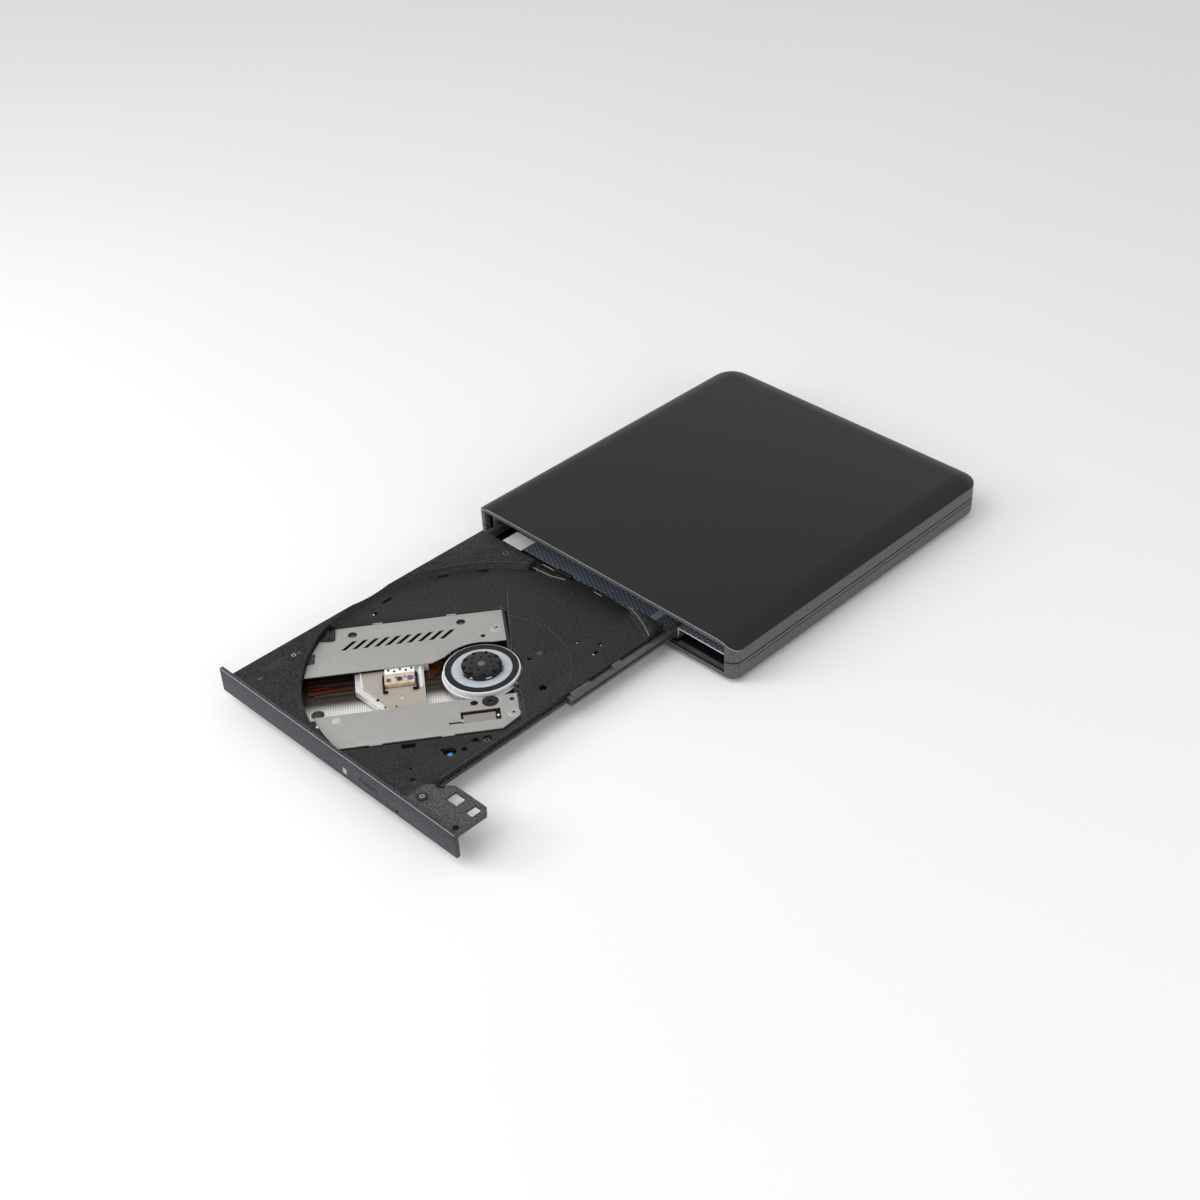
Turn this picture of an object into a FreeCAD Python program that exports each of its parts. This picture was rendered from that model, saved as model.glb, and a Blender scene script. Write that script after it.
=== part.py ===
import FreeCAD, Part
import Sketcher
import math
import os
import re

# A slim external disc drive with its tray open. Millimetres, +Z up, the tray opens towards -Y.
# The origin is on the table under the middle of the whole object, tray included.

SIZES = {
    # Case of two shells
    "rear_bay": 24,
    "top_room": 2.5,
    "foot_height": 1.5,
    "foot_radius": 4.0,
    "foot_seat": 0.3,
    "foot_inset": 12,
    "shell_wall": 1.8,
    "shell_floor": 1.6,
    "lip_depth": 2.5,
    "front_corner": 4.5,
    "back_corner": 9,
    "roll_width": 9.5,
    "roll_drop": 3.4,
    "bottom_round": 1.6,
    "seam_height": 8.4,
    "seam_gap": 0.5,
    "seam_depth": 0.8,
    "line_drop": 2.0,
    "line_height": 0.35,
    "line_depth": 0.4,
    "lip_height": 2.85,
    "lip_groove": 0.8,
    "lip_groove_depth": 1.2,
    "mouth_side": 1,
    "boss_radius": 2.0,
    "boss_inset": 22,
    "boss_sink": 0.3,
    "boss_clearance": 0.5,
    "screw_radius": 0.8,
    "screw_head_radius": 1.5,
    "screw_head_height": 0.9,
    "screw_sink": 0.3,
    # Disc drive inside the case
    "drive_gap": 0.25,
    "drive_setback": 3.0,
    "drive_width": 128,
    "drive_length": 127,
    "drive_height": 9.5,
    "sheet": 0.4,
    "film": 0.1,
    "cover_flange": 2.0,
    "shelf_width": 25.5,
    "shelf_height": 5.1,
    "pad_size": 11,
    "pad_side": 50,
    "pad_inner": 29,
    "pad_inset": 18,
    "tab_size": 5,
    "tab_inset": 24,
    # Boards and sockets behind the drive
    "board_thickness": 1.0,
    "bridge_board_rise": 0.15,
    "bridge_board_left": 6,
    "bridge_board_inset": 1.6,
    "bridge_board_setback": 3.0,
    "post_radius": 2.2,
    "usb_position": 20,
    "usb_width": 8.94,
    "usb_height": 3.26,
    "usb_length": 7.35,
    "usb_wall": 0.3,
    "usb_clearance": 0.3,
    "usb_setback": 0.5,
    "usb_tongue_width": 6.2,
    "usb_tongue_height": 0.7,
    "plug_inset": 2,
    "plug_width": 22,
    "plug_drop": 0.7,
    "plug_length": 5.5,
    "plug_mate": 0.4,
    "main_board_front": 30,
    "main_board_thickness": 0.8,
    # Tray
    "tray_travel": 129,
    "tray_gap": 0.3,
    "tray_height": 4.6,
    "tray_rim": 2.3,
    "tray_wall": 1.2,
    "tray_floor": 1.0,
    "tray_rear_radius": 62.0,
    "spindle_x": 2.8,
    "spindle_back": 66.3,
    "recess_radius": 62.3,
    "recess_slope": 1.7,
    "left_pad_edge": 30,
    "left_pad_back": 123.8,
    "right_pad_edge": 18,
    "right_pad_back": 127.5,
    "bottom_plate": 0.3,
    # Ear of the tray that passes over the raised shelf
    "ear_side_gap": 2.1,
    "ear_back": 17.4,
    "ear_gap": 0.3,
    "ear_rise": 0.5,
    "ear_plate": 1.0,
    "ear_skirt": 0.8,
    "ear_chamfer": 1.5,
    "wide_window_reach": 11.3,
    "wide_window_width": 5.4,
    "narrow_window_inset": 5.0,
    "narrow_window_width": 3.5,
    "ear_window_back": 15.5,
    "ear_window_length": 4.5,
    "ear_hole_inset": 2.0,
    "ear_hole_back": 4.3,
    "ear_hole_radius": 1.1,
    "ear_slot_reach": 3.9,
    "ear_slot_back": 12.9,
    "ear_slot_end_reach": 7.3,
    "ear_slot_end_back": 14.4,
    "ear_slot_half": 0.7,
    "pin_door_left": 2.8,
    "pin_door_right": 0.4,
    # Bezel, button and lamp
    "bezel_thickness": 1.5,
    "bezel_height": 10.3,
    "bezel_gap": 0.15,
    "button_x": 18.9,
    "button_width": 9.6,
    "button_low": 0.7,
    "button_height": 4.1,
    "button_gap": 0.15,
    "button_travel": 0.5,
    "lamp_x": 6.4,
    "lamp_width": 1.9,
    "lamp_low": 2.1,
    "lamp_height": 2.4,
    "lamp_die_half": 1.2,
    "lamp_die_length": 1.5,
    "lamp_die_height": 1.2,
    "stem_half_width": 1.0,
    "stem_half_height": 0.6,
    "stem_side_play": 0.6,
    "switch_half_width": 2.0,
    "switch_length": 2.0,
    "switch_height": 1.6,
    "pinhole_x": 34.0,
    "pinhole_height": 2.0,
    "pinhole_radius": 0.6,
    # Board behind the bezel
    "tray_board_left": 3.5,
    "tray_board_inset": 8.5,
    "tray_board_back": 7.5,
    "tray_board_slant": 1.12,
    "tray_boss_radius": 2.0,
    "board_boss_radius": 1.6,
    "left_boss_x": 14,
    "left_boss_back": 12,
    "right_boss_x": 23,
    "right_boss_back": 21,
    # Screws between the tray and its bottom plate
    "front_left_side": 4.6,
    "front_left_back": 16,
    "rear_left_side": 5.6,
    "rear_left_inset": 16,
    "rear_right_side": 7.5,
    "rear_right_inset": 17,
    "front_right_side": 5.0,
    "front_right_back": 24,
    "tray_screw_depth": 2.5,
    # Slide rails
    "rail_gap": 0.2,
    "left_rail_width": 2.2,
    "right_rail_width": 2.6,
    "rail_length": 113,
    "rail_front": 77,
    "rail_low": 0.2,
    "rail_top_gap": 0.2,
    "groove_depth": 0.8,
    "groove_height": 1.4,
    "groove_low": 1.2,
    "tongue_clearance": 0.1,
    "guide_setback": 2.0,
    "rail_block": 9.5,
    "rail_notch_length": 11.5,
    "rail_second_block": 4.5,
    "rail_notch_depth": 0.8,
    "rail_lead": 1.6,
    # Lock between ear and shelf
    "pivot_reach": 5.0,
    "pivot_back": 6.3,
    "pivot_radius": 0.8,
    "pivot_head_radius": 2.0,
    "lever_gap": 0.2,
    "lever_thickness": 1.2,
    "lever_half_width": 1.1,
    "lock_pin_reach": 2.9,
    "lock_pin_back": 14.2,
    "lock_pin_radius": 0.8,
    "hook_depth": 1.0,
    "hook_play": 0.2,
    "arm_reach": 4.0,
    "solenoid_reach": 7.7,
    "solenoid_start": 4.5,
    "solenoid_end": 13,
    "solenoid_pin_radius": 0.8,
    "solenoid_pin_drop": 1.2,
    "running_fit": 0.05,
    # Plunger that pushes the shut tray open
    "plunger_x": 44,
    "plunger_radius": 0.8,
    "plunger_head_radius": 1.6,
    "plunger_head": 0.6,
    "plunger_travel": 2.5,
    "plunger_height": 2.4,
    "housing_width": 12,
    "housing_length": 4.9,
    "spring_radius": 1.25,
    "spring_wire": 0.15,
    "spring_pitch": 0.9,
    # Flat cable between the tray and the main board
    "cable_left": 18,
    "cable_right": 30,
    "cable_thickness": 0.15,
    "cable_front": 8,
    # Traverse with the spindle and the pickup, turned by the track angle
    "track_angle": 36.87,
    "frame_gap": 0.5,
    "frame_thickness": 1.0,
    "frame_wall": 1.2,
    "frame_left": 34.4,
    "frame_right": 34.0,
    "frame_end": 11.5,
    "frame_radius": 64.0,
    "frame_side_room": 2.9,
    "frame_clearance": 0.6,
    "channel_left": 18.0,
    "channel_right": 27.5,
    "channel_end": 8.5,
    "cover_thickness": 0.4,
    "cover_sink": 0.2,
    "cover_edge": 0.2,
    "left_cover_outer": 34.3,
    "left_cover_inner": 7.4,
    "left_cover_end": 10.4,
    "left_cover_waist": 15.6,
    "right_cover_inner": 15.6,
    "right_cover_outer": 33.6,
    "right_cover_end": 11.1,
    "right_cover_inset": 1.5,
    "turntable_clearance": 2.2,
    "slot_count": 10,
    "slot_pitch": 4.02,
    "slot_start": 49.4,
    "slot_near": 20.9,
    "slot_far": 25.9,
    "slot_lean": 4.6,
    "slot_width": 1.9,
    "left_screw_across": 23.4,
    "left_screw_along": 7.4,
    "right_screw_across": 26.2,
    "right_screw_along": 9.0,
    "cover_screw_radius": 0.9,
    "cover_screw_head": 2.0,
    "cover_screw_rise": 0.3,
    "cover_boss_radius": 2.4,
    "grommet_radius": 2.9,
    "grommet_bore": 1.0,
    "right_damper_across": 18.3,
    "right_damper_along": 1.4,
    "left_damper_across": 29.7,
    "inner_damper_along": 5.4,
    "outer_damper_along": 45.7,
    "damper_hole": 1.7,
    "left_peg_across": 19.7,
    "left_peg_along": 2.1,
    "peg_hole": 0.9,
    "right_peg_across": 18.5,
    "right_peg_along": 9.1,
    "half_moon_along": 4.4,
    "half_moon_radius": 1.4,
    "slit_near": 27.4,
    "slit_far": 28.3,
    "slit_start": 14,
    "slit_end": 9,
    "right_cover_cut": 27.8,
    "right_cover_slope": 6.6,
    "plate_hole_across": 8.8,
    "plate_hole_inset": 4.4,
    "plate_hole_radius": 2.4,
    "left_corner_across": 29.5,
    "left_corner_length": 12,
    "left_port_near": 15.2,
    "left_port_far": 20.4,
    "left_port_inset": 1.0,
    "left_port_length": 3.2,
    # Spindle motor
    "turntable_radius": 14.1,
    "turntable_wall": 0.8,
    "turntable_top": 4.9,
    "turntable_low": 2.2,
    "seat_inner": 11.2,
    "seat_outer": 13.5,
    "seat_height": 0.3,
    "hub_radius": 7.4,
    "hub_height": 2.0,
    "claw_width": 2.2,
    "claw_height": 1.0,
    "claw_reach": 7.9,
    "claw_root": 5.2,
    "claw_travel": 0.5,
    "claw_play": 0.1,
    "spindle_radius": 1.0,
    "bearing_radius": 2.2,
    "stator_radius": 9,
    "motor_plate_radius": 14.6,
    "motor_plate_front": 14.0,
    "motor_plate": 0.6,
    # Pickup with its rods and lead screw
    "rod_radius": 1.3,
    "rod_height": 2.3,
    "left_rod": 15.0,
    "right_rod": 18.6,
    "rod_inset": 2.5,
    "rod_inner_end": 9.0,
    "holder_length": 2.5,
    "holder_half": 2.0,
    "screw_holder_length": 1.8,
    "pickup_outer": 45.8,
    "pickup_nose": 1.8,
    "pickup_slope": 10,
    "pickup_inner": 21,
    "pickup_left": 8.0,
    "pickup_right": 15.4,
    "pickup_height": 3.0,
    "pickup_plate": 0.2,
    "pickup_plate_inset": 2.8,
    "pickup_plate_side": 1.0,
    "pickup_hole_across": 8.3,
    "pickup_gap": 0.5,
    "lens_track": 29.8,
    "lens_well_left": 6.2,
    "lens_well_right": 2.6,
    "lens_well_half": 6.2,
    "lens_holder_left": 3.9,
    "lens_holder_right": 1.9,
    "lens_holder_half": 5.4,
    "lens_across": 0.6,
    "lens_spacing": 3.8,
    "lens_radius": 1.1,
    "lens_rise": 0.3,
    "holder_height": 2.3,
    "screw_track": 25.5,
    "lead_screw_radius": 1.25,
    "lead_screw_inset": 9,
    "motor_width": 7,
    "motor_length": 14,
    "motor_front": 8.8,
}

# Round holes in the floor of the recess: the nearer side of the tray, the distance from it,
# the distance behind the bezel's front, and the radius.
FLOOR_HOLES = {
    "front_peg": ("right", 5.9, 11.1, 1.3),
    "front_pin": ("right", 11.2, 14.6, 0.6),
    "sensor": ("right", 7.7, 29.1, 2.3),
    "sensor_side": ("right", 10.2, 28.0, 0.8),
    "side_screw": ("right", 3.3, 42.6, 1.5),
    "side_peg": ("right", 4.9, 33.4, 1.1),
    "rear_pin": ("right", 18.2, 100.7, 0.8),
    "motor_peg": ("right", 8.8, 74.1, 1.5),
    "motor_pin": ("right", 24.4, 82.0, 0.7),
    "left_light": ("left", 8.2, 61.6, 1.0),
    "left_pin": ("left", 4.5, 101.3, 0.8),
    "left_screw": ("left", 5.7, 26.2, 1.2),
}

# Slots in the same floor: the nearer side, the distance from it and behind the bezel's front
# at both ends, and half the width.
FLOOR_SLOTS = {
    "front_slot": ("right", 22.2, 19.8, 19.1, 23.5, 1.2),
    "right_slot": ("right", 5.6, 37.6, 5.6, 40.2, 1.3),
    "rear_slot": ("right", 12.1, 105.5, 9.8, 105.5, 0.9),
    "clip_slot": ("right", 9.3, 99.4, 8.7, 102.0, 0.8),
    "left_slot": ("left", 5.1, 67.6, 5.1, 72.4, 0.6),
    "corner_slot": ("left", 5.9, 109.6, 5.2, 118.0, 1.8),
    "rim_slot": ("left", 17.6, 106.6, 19.6, 108.9, 0.6),
    "arc_slot": ("left", 8.2, 92.4, 10.2, 96.6, 0.6),
}

document = FreeCAD.newDocument("disc_drive")
sheet = document.addObject("Spreadsheet::Sheet", "Sizes")
nodes = {}


def fill_sheet():
    for name, (side, inset, back, radius) in FLOOR_HOLES.items():
        SIZES.update({f"{name}_inset": inset, f"{name}_back": back, f"{name}_radius": radius})
    for name, (side, inset, back, end_inset, end_back, half) in FLOOR_SLOTS.items():
        SIZES.update({f"{name}_inset": inset, f"{name}_back": back, f"{name}_half": half})
        SIZES.update({f"{name}_end_inset": end_inset, f"{name}_end_back": end_back})
    for row, (alias, size) in enumerate(SIZES.items(), start=1):
        sheet.set(f"A{row}", alias)
        sheet.set(f"B{row}", str(size))
        sheet.setAlias(f"B{row}", alias)
    document.recompute()


fill_sheet()

# Places that follow from the sizes
CASE_DEPTH = "(drive_setback + drive_length + rear_bay)"
CASE_SIDE = "(drive_width / 2 + boss_clearance + 2 * boss_radius - boss_sink + shell_wall)"
CASE_BACK = f"(({CASE_DEPTH} + tray_travel) / 2)"
CASE_FRONT = f"((tray_travel - {CASE_DEPTH}) / 2)"
BEZEL_FRONT = f"(-({CASE_DEPTH} + tray_travel) / 2)"
SEAM = "(foot_height + seam_height)"
MOUTH_LOW = "(foot_height + lip_height)"
MOUTH_SIDE = "(drive_width / 2 + mouth_side)"
CAVITY_FLOOR = "(foot_height + shell_floor)"
DRIVE_LOW = f"({MOUTH_LOW} + drive_gap)"
DRIVE_HIGH = f"({DRIVE_LOW} + drive_height)"
CASE_TOP = f"({DRIVE_HIGH} + top_room + shell_wall)"
MOUTH_HIGH = f"({CASE_TOP} - shell_wall)"
DRIVE_FRONT = f"({CASE_FRONT} + drive_setback)"
DRIVE_BACK = f"({DRIVE_FRONT} + drive_length)"
PAN_SIDE = "(drive_width / 2 - sheet)"
PAN_FLOOR = f"({DRIVE_LOW} + sheet)"
SHELF = f"({DRIVE_LOW} + shelf_height)"
COVER_UNDERSIDE = f"({DRIVE_HIGH} - sheet)"
BRIDGE_TOP = f"({SEAM} + bridge_board_rise)"
BRIDGE_BOARD = f"({BRIDGE_TOP} - board_thickness)"
BRIDGE_RIGHT = "(drive_width / 2 - bridge_board_inset)"
PLUG_RIGHT = "(drive_width / 2 - plug_inset)"
PLUG_LEFT = f"({PLUG_RIGHT} - plug_width)"
PLUG_TOP = f"({COVER_UNDERSIDE} - plug_drop)"
STEP = "(drive_width / 2 - shelf_width)"
TRAY_LEFT = "(drive_width / 2 - 2 * sheet - 2 * rail_gap - left_rail_width)"
TRAY_RIGHT = f"({STEP} - 2 * rail_gap - right_rail_width)"
EAR_RIGHT = f"({PAN_SIDE} - ear_side_gap)"
PIVOT_X = f"({TRAY_RIGHT} + pivot_reach)"
LOCK_PIN_X = f"({PIVOT_X} + lock_pin_reach)"
MAIN_TOP = f"({SHELF} + film + main_board_thickness)"
TRAY_LOW = f"({PAN_FLOOR} + film + tray_gap)"
PLATE_TOP = f"({TRAY_LOW} + bottom_plate)"
TRAY_FLOOR = f"({TRAY_LOW} + tray_height)"
TRAY_CEILING = f"({TRAY_FLOOR} - tray_floor)"
RIM_TOP = f"({TRAY_FLOOR} + tray_rim)"
EAR_TOP = f"({RIM_TOP} + ear_rise)"
EAR_CEILING = f"({EAR_TOP} - ear_plate)"
EAR_LOW = f"({SHELF} + film + ear_gap)"
FRAME_LOW = f"({PLATE_TOP} + frame_gap)"
FRAME_TOP = f"({FRAME_LOW} + frame_thickness)"
COVER_LOW = f"({TRAY_FLOOR} - cover_sink)"
COVER_HIGH = f"({COVER_LOW} + cover_thickness)"
BEZEL_LOW = f"({MOUTH_LOW} + bezel_gap)"
BEZEL_HIGH = f"({BEZEL_LOW} + bezel_height)"
ROLL_RADIUS = "((roll_width ^ 2 + roll_drop ^ 2) / (2 * roll_drop))"
ROD_LEVEL = f"({PLATE_TOP} + rod_height)"
PICKUP_LOW = f"({PLATE_TOP} + pickup_gap)"
SPINDLE_X = "spindle_x"
SPINDLE_Y = f"({BEZEL_FRONT} + spindle_back)"
TURNTABLE_TOP = f"({PLATE_TOP} + turntable_top)"
RIGHT_COVER_RADIUS = "(frame_radius - right_cover_inset)"
ROD_OUTER_END = "(frame_radius - rod_inset)"
SCREW_END = "(frame_radius - lead_screw_inset)"
PICKUP_TOP = f"({PLATE_TOP} + pickup_height)"


def behind_bezel(distance):
    return f"({BEZEL_FRONT} + {distance})"


def inside_case(distance):
    return f"({CASE_FRONT} + {distance})"


def on_sheet(expression):
    names = "|".join(sorted(SIZES, key=len, reverse=True))
    return re.sub(rf"\b({names})\b", r"Sizes.\1", str(expression))


def value(expression):
    return float(sheet.evalExpression(str(expression)))


def bind(thing, prop, expression):
    thing.setExpression(prop, on_sheet(expression))


def place(thing, x, y, z):
    bind(thing, "Placement.Base.x", x)
    bind(thing, "Placement.Base.y", y)
    bind(thing, "Placement.Base.z", z)


def track_place(across, along):
    x = f"{SPINDLE_X} + ({across}) * cos(track_angle) + ({along}) * sin(track_angle)"
    y = f"{SPINDLE_Y} - ({across}) * sin(track_angle) + ({along}) * cos(track_angle)"
    return x, y


def turn_to_track(thing):
    thing.Placement = FreeCAD.Placement(FreeCAD.Vector(), FreeCAD.Rotation(FreeCAD.Vector(0, 0, -1), 1))
    bind(thing, "Placement.Rotation.Angle", "track_angle")


def box(name, x, y, z):
    solid = document.addObject("Part::Box", name)
    for side, (low, high) in zip(("Length", "Width", "Height"), (x, y, z)):
        bind(solid, side, f"({high}) - ({low})")
    place(solid, x[0], y[0], z[0])
    return solid


def track_box(name, across, along, z):
    solid = document.addObject("Part::Box", name)
    for side, (low, high) in zip(("Length", "Width", "Height"), (across, along, z)):
        bind(solid, side, f"({high}) - ({low})")
    turn_to_track(solid)
    place(solid, *track_place(across[0], along[0]), z[0])
    return solid


def cylinder(name, x, y, z, radius):
    solid = document.addObject("Part::Cylinder", name)
    bind(solid, "Radius", radius)
    bind(solid, "Height", f"({z[1]}) - ({z[0]})")
    place(solid, x, y, z[0])
    return solid


def track_cylinder(name, across, along, z, radius):
    return cylinder(name, *track_place(across, along), z, radius)


def lying_cylinder(name, x, y, z, radius, axis):
    # A cylinder along X or Y; the range that goes with its axis gives its two ends.
    solid = document.addObject("Part::Cylinder", name)
    bind(solid, "Radius", radius)
    start, end = (x if axis == "x" else y)
    bind(solid, "Height", f"({end}) - ({start})")
    direction = FreeCAD.Vector(1, 0, 0) if axis == "x" else FreeCAD.Vector(0, 1, 0)
    lay_down = FreeCAD.Rotation(FreeCAD.Vector(0, 0, 1), direction)
    solid.Placement = FreeCAD.Placement(FreeCAD.Vector(), lay_down)
    place(solid, start if axis == "x" else x, start if axis == "y" else y, z)
    return solid


def track_rod(name, across, along, z, radius):
    # A round bar parallel to the track, from the outer to the inner end of its range.
    solid = document.addObject("Part::Cylinder", name)
    bind(solid, "Radius", radius)
    bind(solid, "Height", f"({along[1]}) - ({along[0]})")
    angle = math.radians(value("track_angle"))
    inward = FreeCAD.Vector(math.sin(angle), math.cos(angle), 0)
    solid.Placement = FreeCAD.Placement(FreeCAD.Vector(), FreeCAD.Rotation(FreeCAD.Vector(0, 0, 1), inward))
    place(solid, *track_place(across, along[0]), z)
    return solid


def fuse(name, *solids):
    joined = document.addObject("Part::MultiFuse", name)
    joined.Shapes = list(solids)
    joined.Refine = True
    return joined


def common(name, *solids):
    shared = document.addObject("Part::MultiCommon", name)
    shared.Shapes = list(solids)
    shared.Refine = True
    return shared


def cut(name, base, *tools):
    remainder = document.addObject("Part::Cut", name)
    remainder.Base = base
    remainder.Tool = tools[0] if len(tools) == 1 else fuse(f"{name}_tools", *tools)
    remainder.Refine = True
    return remainder


def group(name, *solids):
    several = document.addObject("Part::Compound", name)
    several.Links = list(solids)
    return several


def keep(label, thing):
    thing.Label = label
    nodes[label] = thing
    return thing


def plane_of(body, role):
    return next(feature for feature in body.Origin.OriginFeatures if feature.Role == role)


def new_sketch(body, name, role, offset):
    sketch = body.newObject("Sketcher::SketchObject", name)
    sketch.AttachmentSupport = (plane_of(body, role), [""])
    sketch.MapMode = "FlatFace"
    bind(sketch, "AttachmentOffset.Base.z", offset)
    return sketch


def pin_point(sketch, geometry, end, x, y):
    # Holds one point of a sketch at a place worked out from the sizes.
    for kind, place_along in (("DistanceX", x), ("DistanceY", y)):
        index = sketch.addConstraint(Sketcher.Constraint(kind, -1, 1, geometry, end, value(place_along)))
        bind(sketch, f"Constraints[{index}]", place_along)


def draw_circle(sketch, x, y, radius):
    middle = FreeCAD.Vector(value(x), value(y), 0)
    circle = sketch.addGeometry(Part.Circle(middle, FreeCAD.Vector(0, 0, 1), value(radius)))
    index = sketch.addConstraint(Sketcher.Constraint("Radius", circle, value(radius)))
    bind(sketch, f"Constraints[{index}]", radius)
    pin_point(sketch, circle, 3, x, y)


def draw_polygon(sketch, corners):
    # A closed outline through the corners, with straight sides.
    spots = [FreeCAD.Vector(value(x), value(y), 0) for x, y in corners]
    sides = [sketch.addGeometry(Part.LineSegment(spots[i], spots[(i + 1) % len(spots)]))
             for i in range(len(spots))]
    for i, side in enumerate(sides):
        sketch.addConstraint(Sketcher.Constraint("Coincident", sides[i - 1], 2, side, 1))
        pin_point(sketch, side, 1, *corners[i])


def draw_rounded(sketch, corners):
    # A closed counter-clockwise outline whose corners carry a radius each.
    spots = [FreeCAD.Vector(value(x), value(y), 0) for x, y, radius in corners]
    arcs = []
    for i, (x, y, radius) in enumerate(corners):
        before = (spots[i - 1] - spots[i]).normalize()
        after = (spots[(i + 1) % len(spots)] - spots[i]).normalize()
        half = before.getAngle(after) / 2
        size = value(radius)
        middle = spots[i] + (before + after).normalize() * (size / math.sin(half))
        start = spots[i] + before * (size / math.tan(half)) - middle
        end = spots[i] + after * (size / math.tan(half)) - middle
        circle = Part.Circle(middle, FreeCAD.Vector(0, 0, 1), size)
        arc = Part.ArcOfCircle(circle, math.atan2(start.y, start.x), math.atan2(end.y, end.x))
        arcs.append((sketch.addGeometry(arc), middle + start, middle + end))
    sides = []
    for i, (arc, start, end) in enumerate(arcs):
        following = arcs[(i + 1) % len(arcs)]
        sides.append(sketch.addGeometry(Part.LineSegment(end, following[1])))
    for i, (x, y, radius) in enumerate(corners):
        arc = arcs[i][0]
        sketch.addConstraint(Sketcher.Constraint("Tangent", sides[i - 1], 2, arc, 1))
        sketch.addConstraint(Sketcher.Constraint("Tangent", arc, 2, sides[i], 1))
        index = sketch.addConstraint(Sketcher.Constraint("Radius", arc, value(radius)))
        bind(sketch, f"Constraints[{index}]", radius)
        corner = sketch.addGeometry(Part.Point(spots[i]), True)
        sketch.addConstraint(Sketcher.Constraint("PointOnObject", corner, 1, sides[i - 1]))
        sketch.addConstraint(Sketcher.Constraint("PointOnObject", corner, 1, sides[i]))
        pin_point(sketch, corner, 1, x, y)


def pad(body, sketch, height):
    feature = body.newObject("PartDesign::Pad", f"{sketch.Name}_pad")
    feature.Profile = sketch
    bind(feature, "Length", height)
    sketch.Visibility = False
    return feature


def prism(name, corners, z, holes=(), on_track=False):
    # An upright plate: its outline, then round holes given as place and radius.
    body = document.addObject("PartDesign::Body", name)
    sketch = new_sketch(body, f"{name}_outline", "XY_Plane", z[0])
    if len(corners[0]) == 3:
        draw_rounded(sketch, corners)
    else:
        draw_polygon(sketch, corners)
    for x, y, radius in holes:
        draw_circle(sketch, x, y, radius)
    pad(body, sketch, f"({z[1]}) - ({z[0]})")
    if on_track:
        turn_to_track(body)
        place(body, SPINDLE_X, SPINDLE_Y, "0")
    return body


def case_outline(inset, front_inset):
    side = f"({CASE_SIDE} - {inset})"
    front = f"({CASE_FRONT} + {front_inset})"
    back = f"({CASE_BACK} - {inset})"
    front_round = f"(front_corner - {inset})"
    back_round = f"(back_corner - {inset})"
    return [(f"-{side}", front, front_round), (side, front, front_round),
            (side, back, back_round), (f"-{side}", back, back_round)]


def screw_spots():
    side = f"({CASE_SIDE} - shell_wall - boss_radius + boss_sink)"
    rows = (inside_case("boss_inset"), f"({CASE_BACK} - boss_inset)")
    return [(f"{sign}{side}", row) for row in rows for sign in ("-", "")]


def pad_spots():
    rows = (inside_case("pad_inset"), f"({DRIVE_BACK} - pad_inset)")
    return [(x, row) for row in rows for x in ("-pad_side", "pad_inner")]


def post_spots():
    back = f"({CASE_BACK} - shell_wall - post_radius - 1)"
    return [("bridge_board_left + post_radius + 1", back), (f"{BRIDGE_RIGHT} - post_radius - 1", back)]


def mouth_cutter(name):
    return box(name, (f"-{MOUTH_SIDE}", MOUTH_SIDE),
               (f"{CASE_FRONT} - 1", f"{CASE_FRONT} + lip_depth + 1"), (MOUTH_LOW, MOUTH_HIGH))


def crown(name, inset):
    # The case's top: flat, and rolling off to the sides and the back on arcs that end in a crease.
    radius = f"({ROLL_RADIUS} - {inset})"
    level = f"({CASE_TOP} - {ROLL_RADIUS})"
    side = f"({CASE_SIDE} - roll_width)"
    front = f"({CASE_FRONT} - 1)"
    back = f"({CASE_BACK} - roll_width)"
    left = lying_cylinder(f"{name}_left", f"-{side}", (front, back), level, radius, "y")
    right = lying_cylinder(f"{name}_right", side, (front, back), level, radius, "y")
    rear = lying_cylinder(f"{name}_rear", (f"-{side}", side), back, level, radius, "x")
    corners = []
    for end, x in (("left", f"-{side}"), ("right", side)):
        ball = document.addObject("Part::Sphere", f"{name}_{end}_corner")
        bind(ball, "Radius", radius)
        place(ball, x, back, level)
        corners.append(ball)
    middle = box(f"{name}_middle", (f"-{side}", side), (front, back), (level, f"{CASE_TOP} - {inset}"))
    return fuse(name, left, right, rear, middle, *corners)


def make_top_shell():
    walls = prism("top_walls", case_outline("0", "0"), (SEAM, f"{CASE_TOP} + 1"))
    outside = common("top_outside", walls, crown("outer_crown", "0"))
    room = prism("top_room", case_outline("shell_wall", "lip_depth"), (f"{SEAM} - 1", f"{CASE_TOP} + 1"))
    inside = common("top_inside", room, crown("inner_crown", "shell_wall"))
    hole = box("usb_window", ("usb_position - usb_width / 2 - usb_clearance",
                              "usb_position + usb_width / 2 + usb_clearance"),
               (f"{CASE_BACK} - shell_wall - 1", f"{CASE_BACK} + 1"),
               (f"{BRIDGE_TOP} - usb_clearance + 0.2", f"{BRIDGE_TOP} + usb_height + usb_clearance"))
    shell = cut("top_hollow", outside, inside, mouth_cutter("top_mouth"), hole)
    bosses = []
    drills = []
    for i, (x, y) in enumerate(screw_spots()):
        bosses.append(cylinder(f"top_boss_{i}", x, y, (SEAM, f"{CASE_TOP} - roll_drop"), "boss_radius"))
        drills.append(cylinder(f"top_drill_{i}", x, y, (f"{SEAM} - 1", f"{SEAM} + 4"), "screw_radius"))
    filled = fuse("top_filled", shell, *bosses)
    keep("top_shell", cut("top_shell_solid", filled, *drills))


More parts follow.
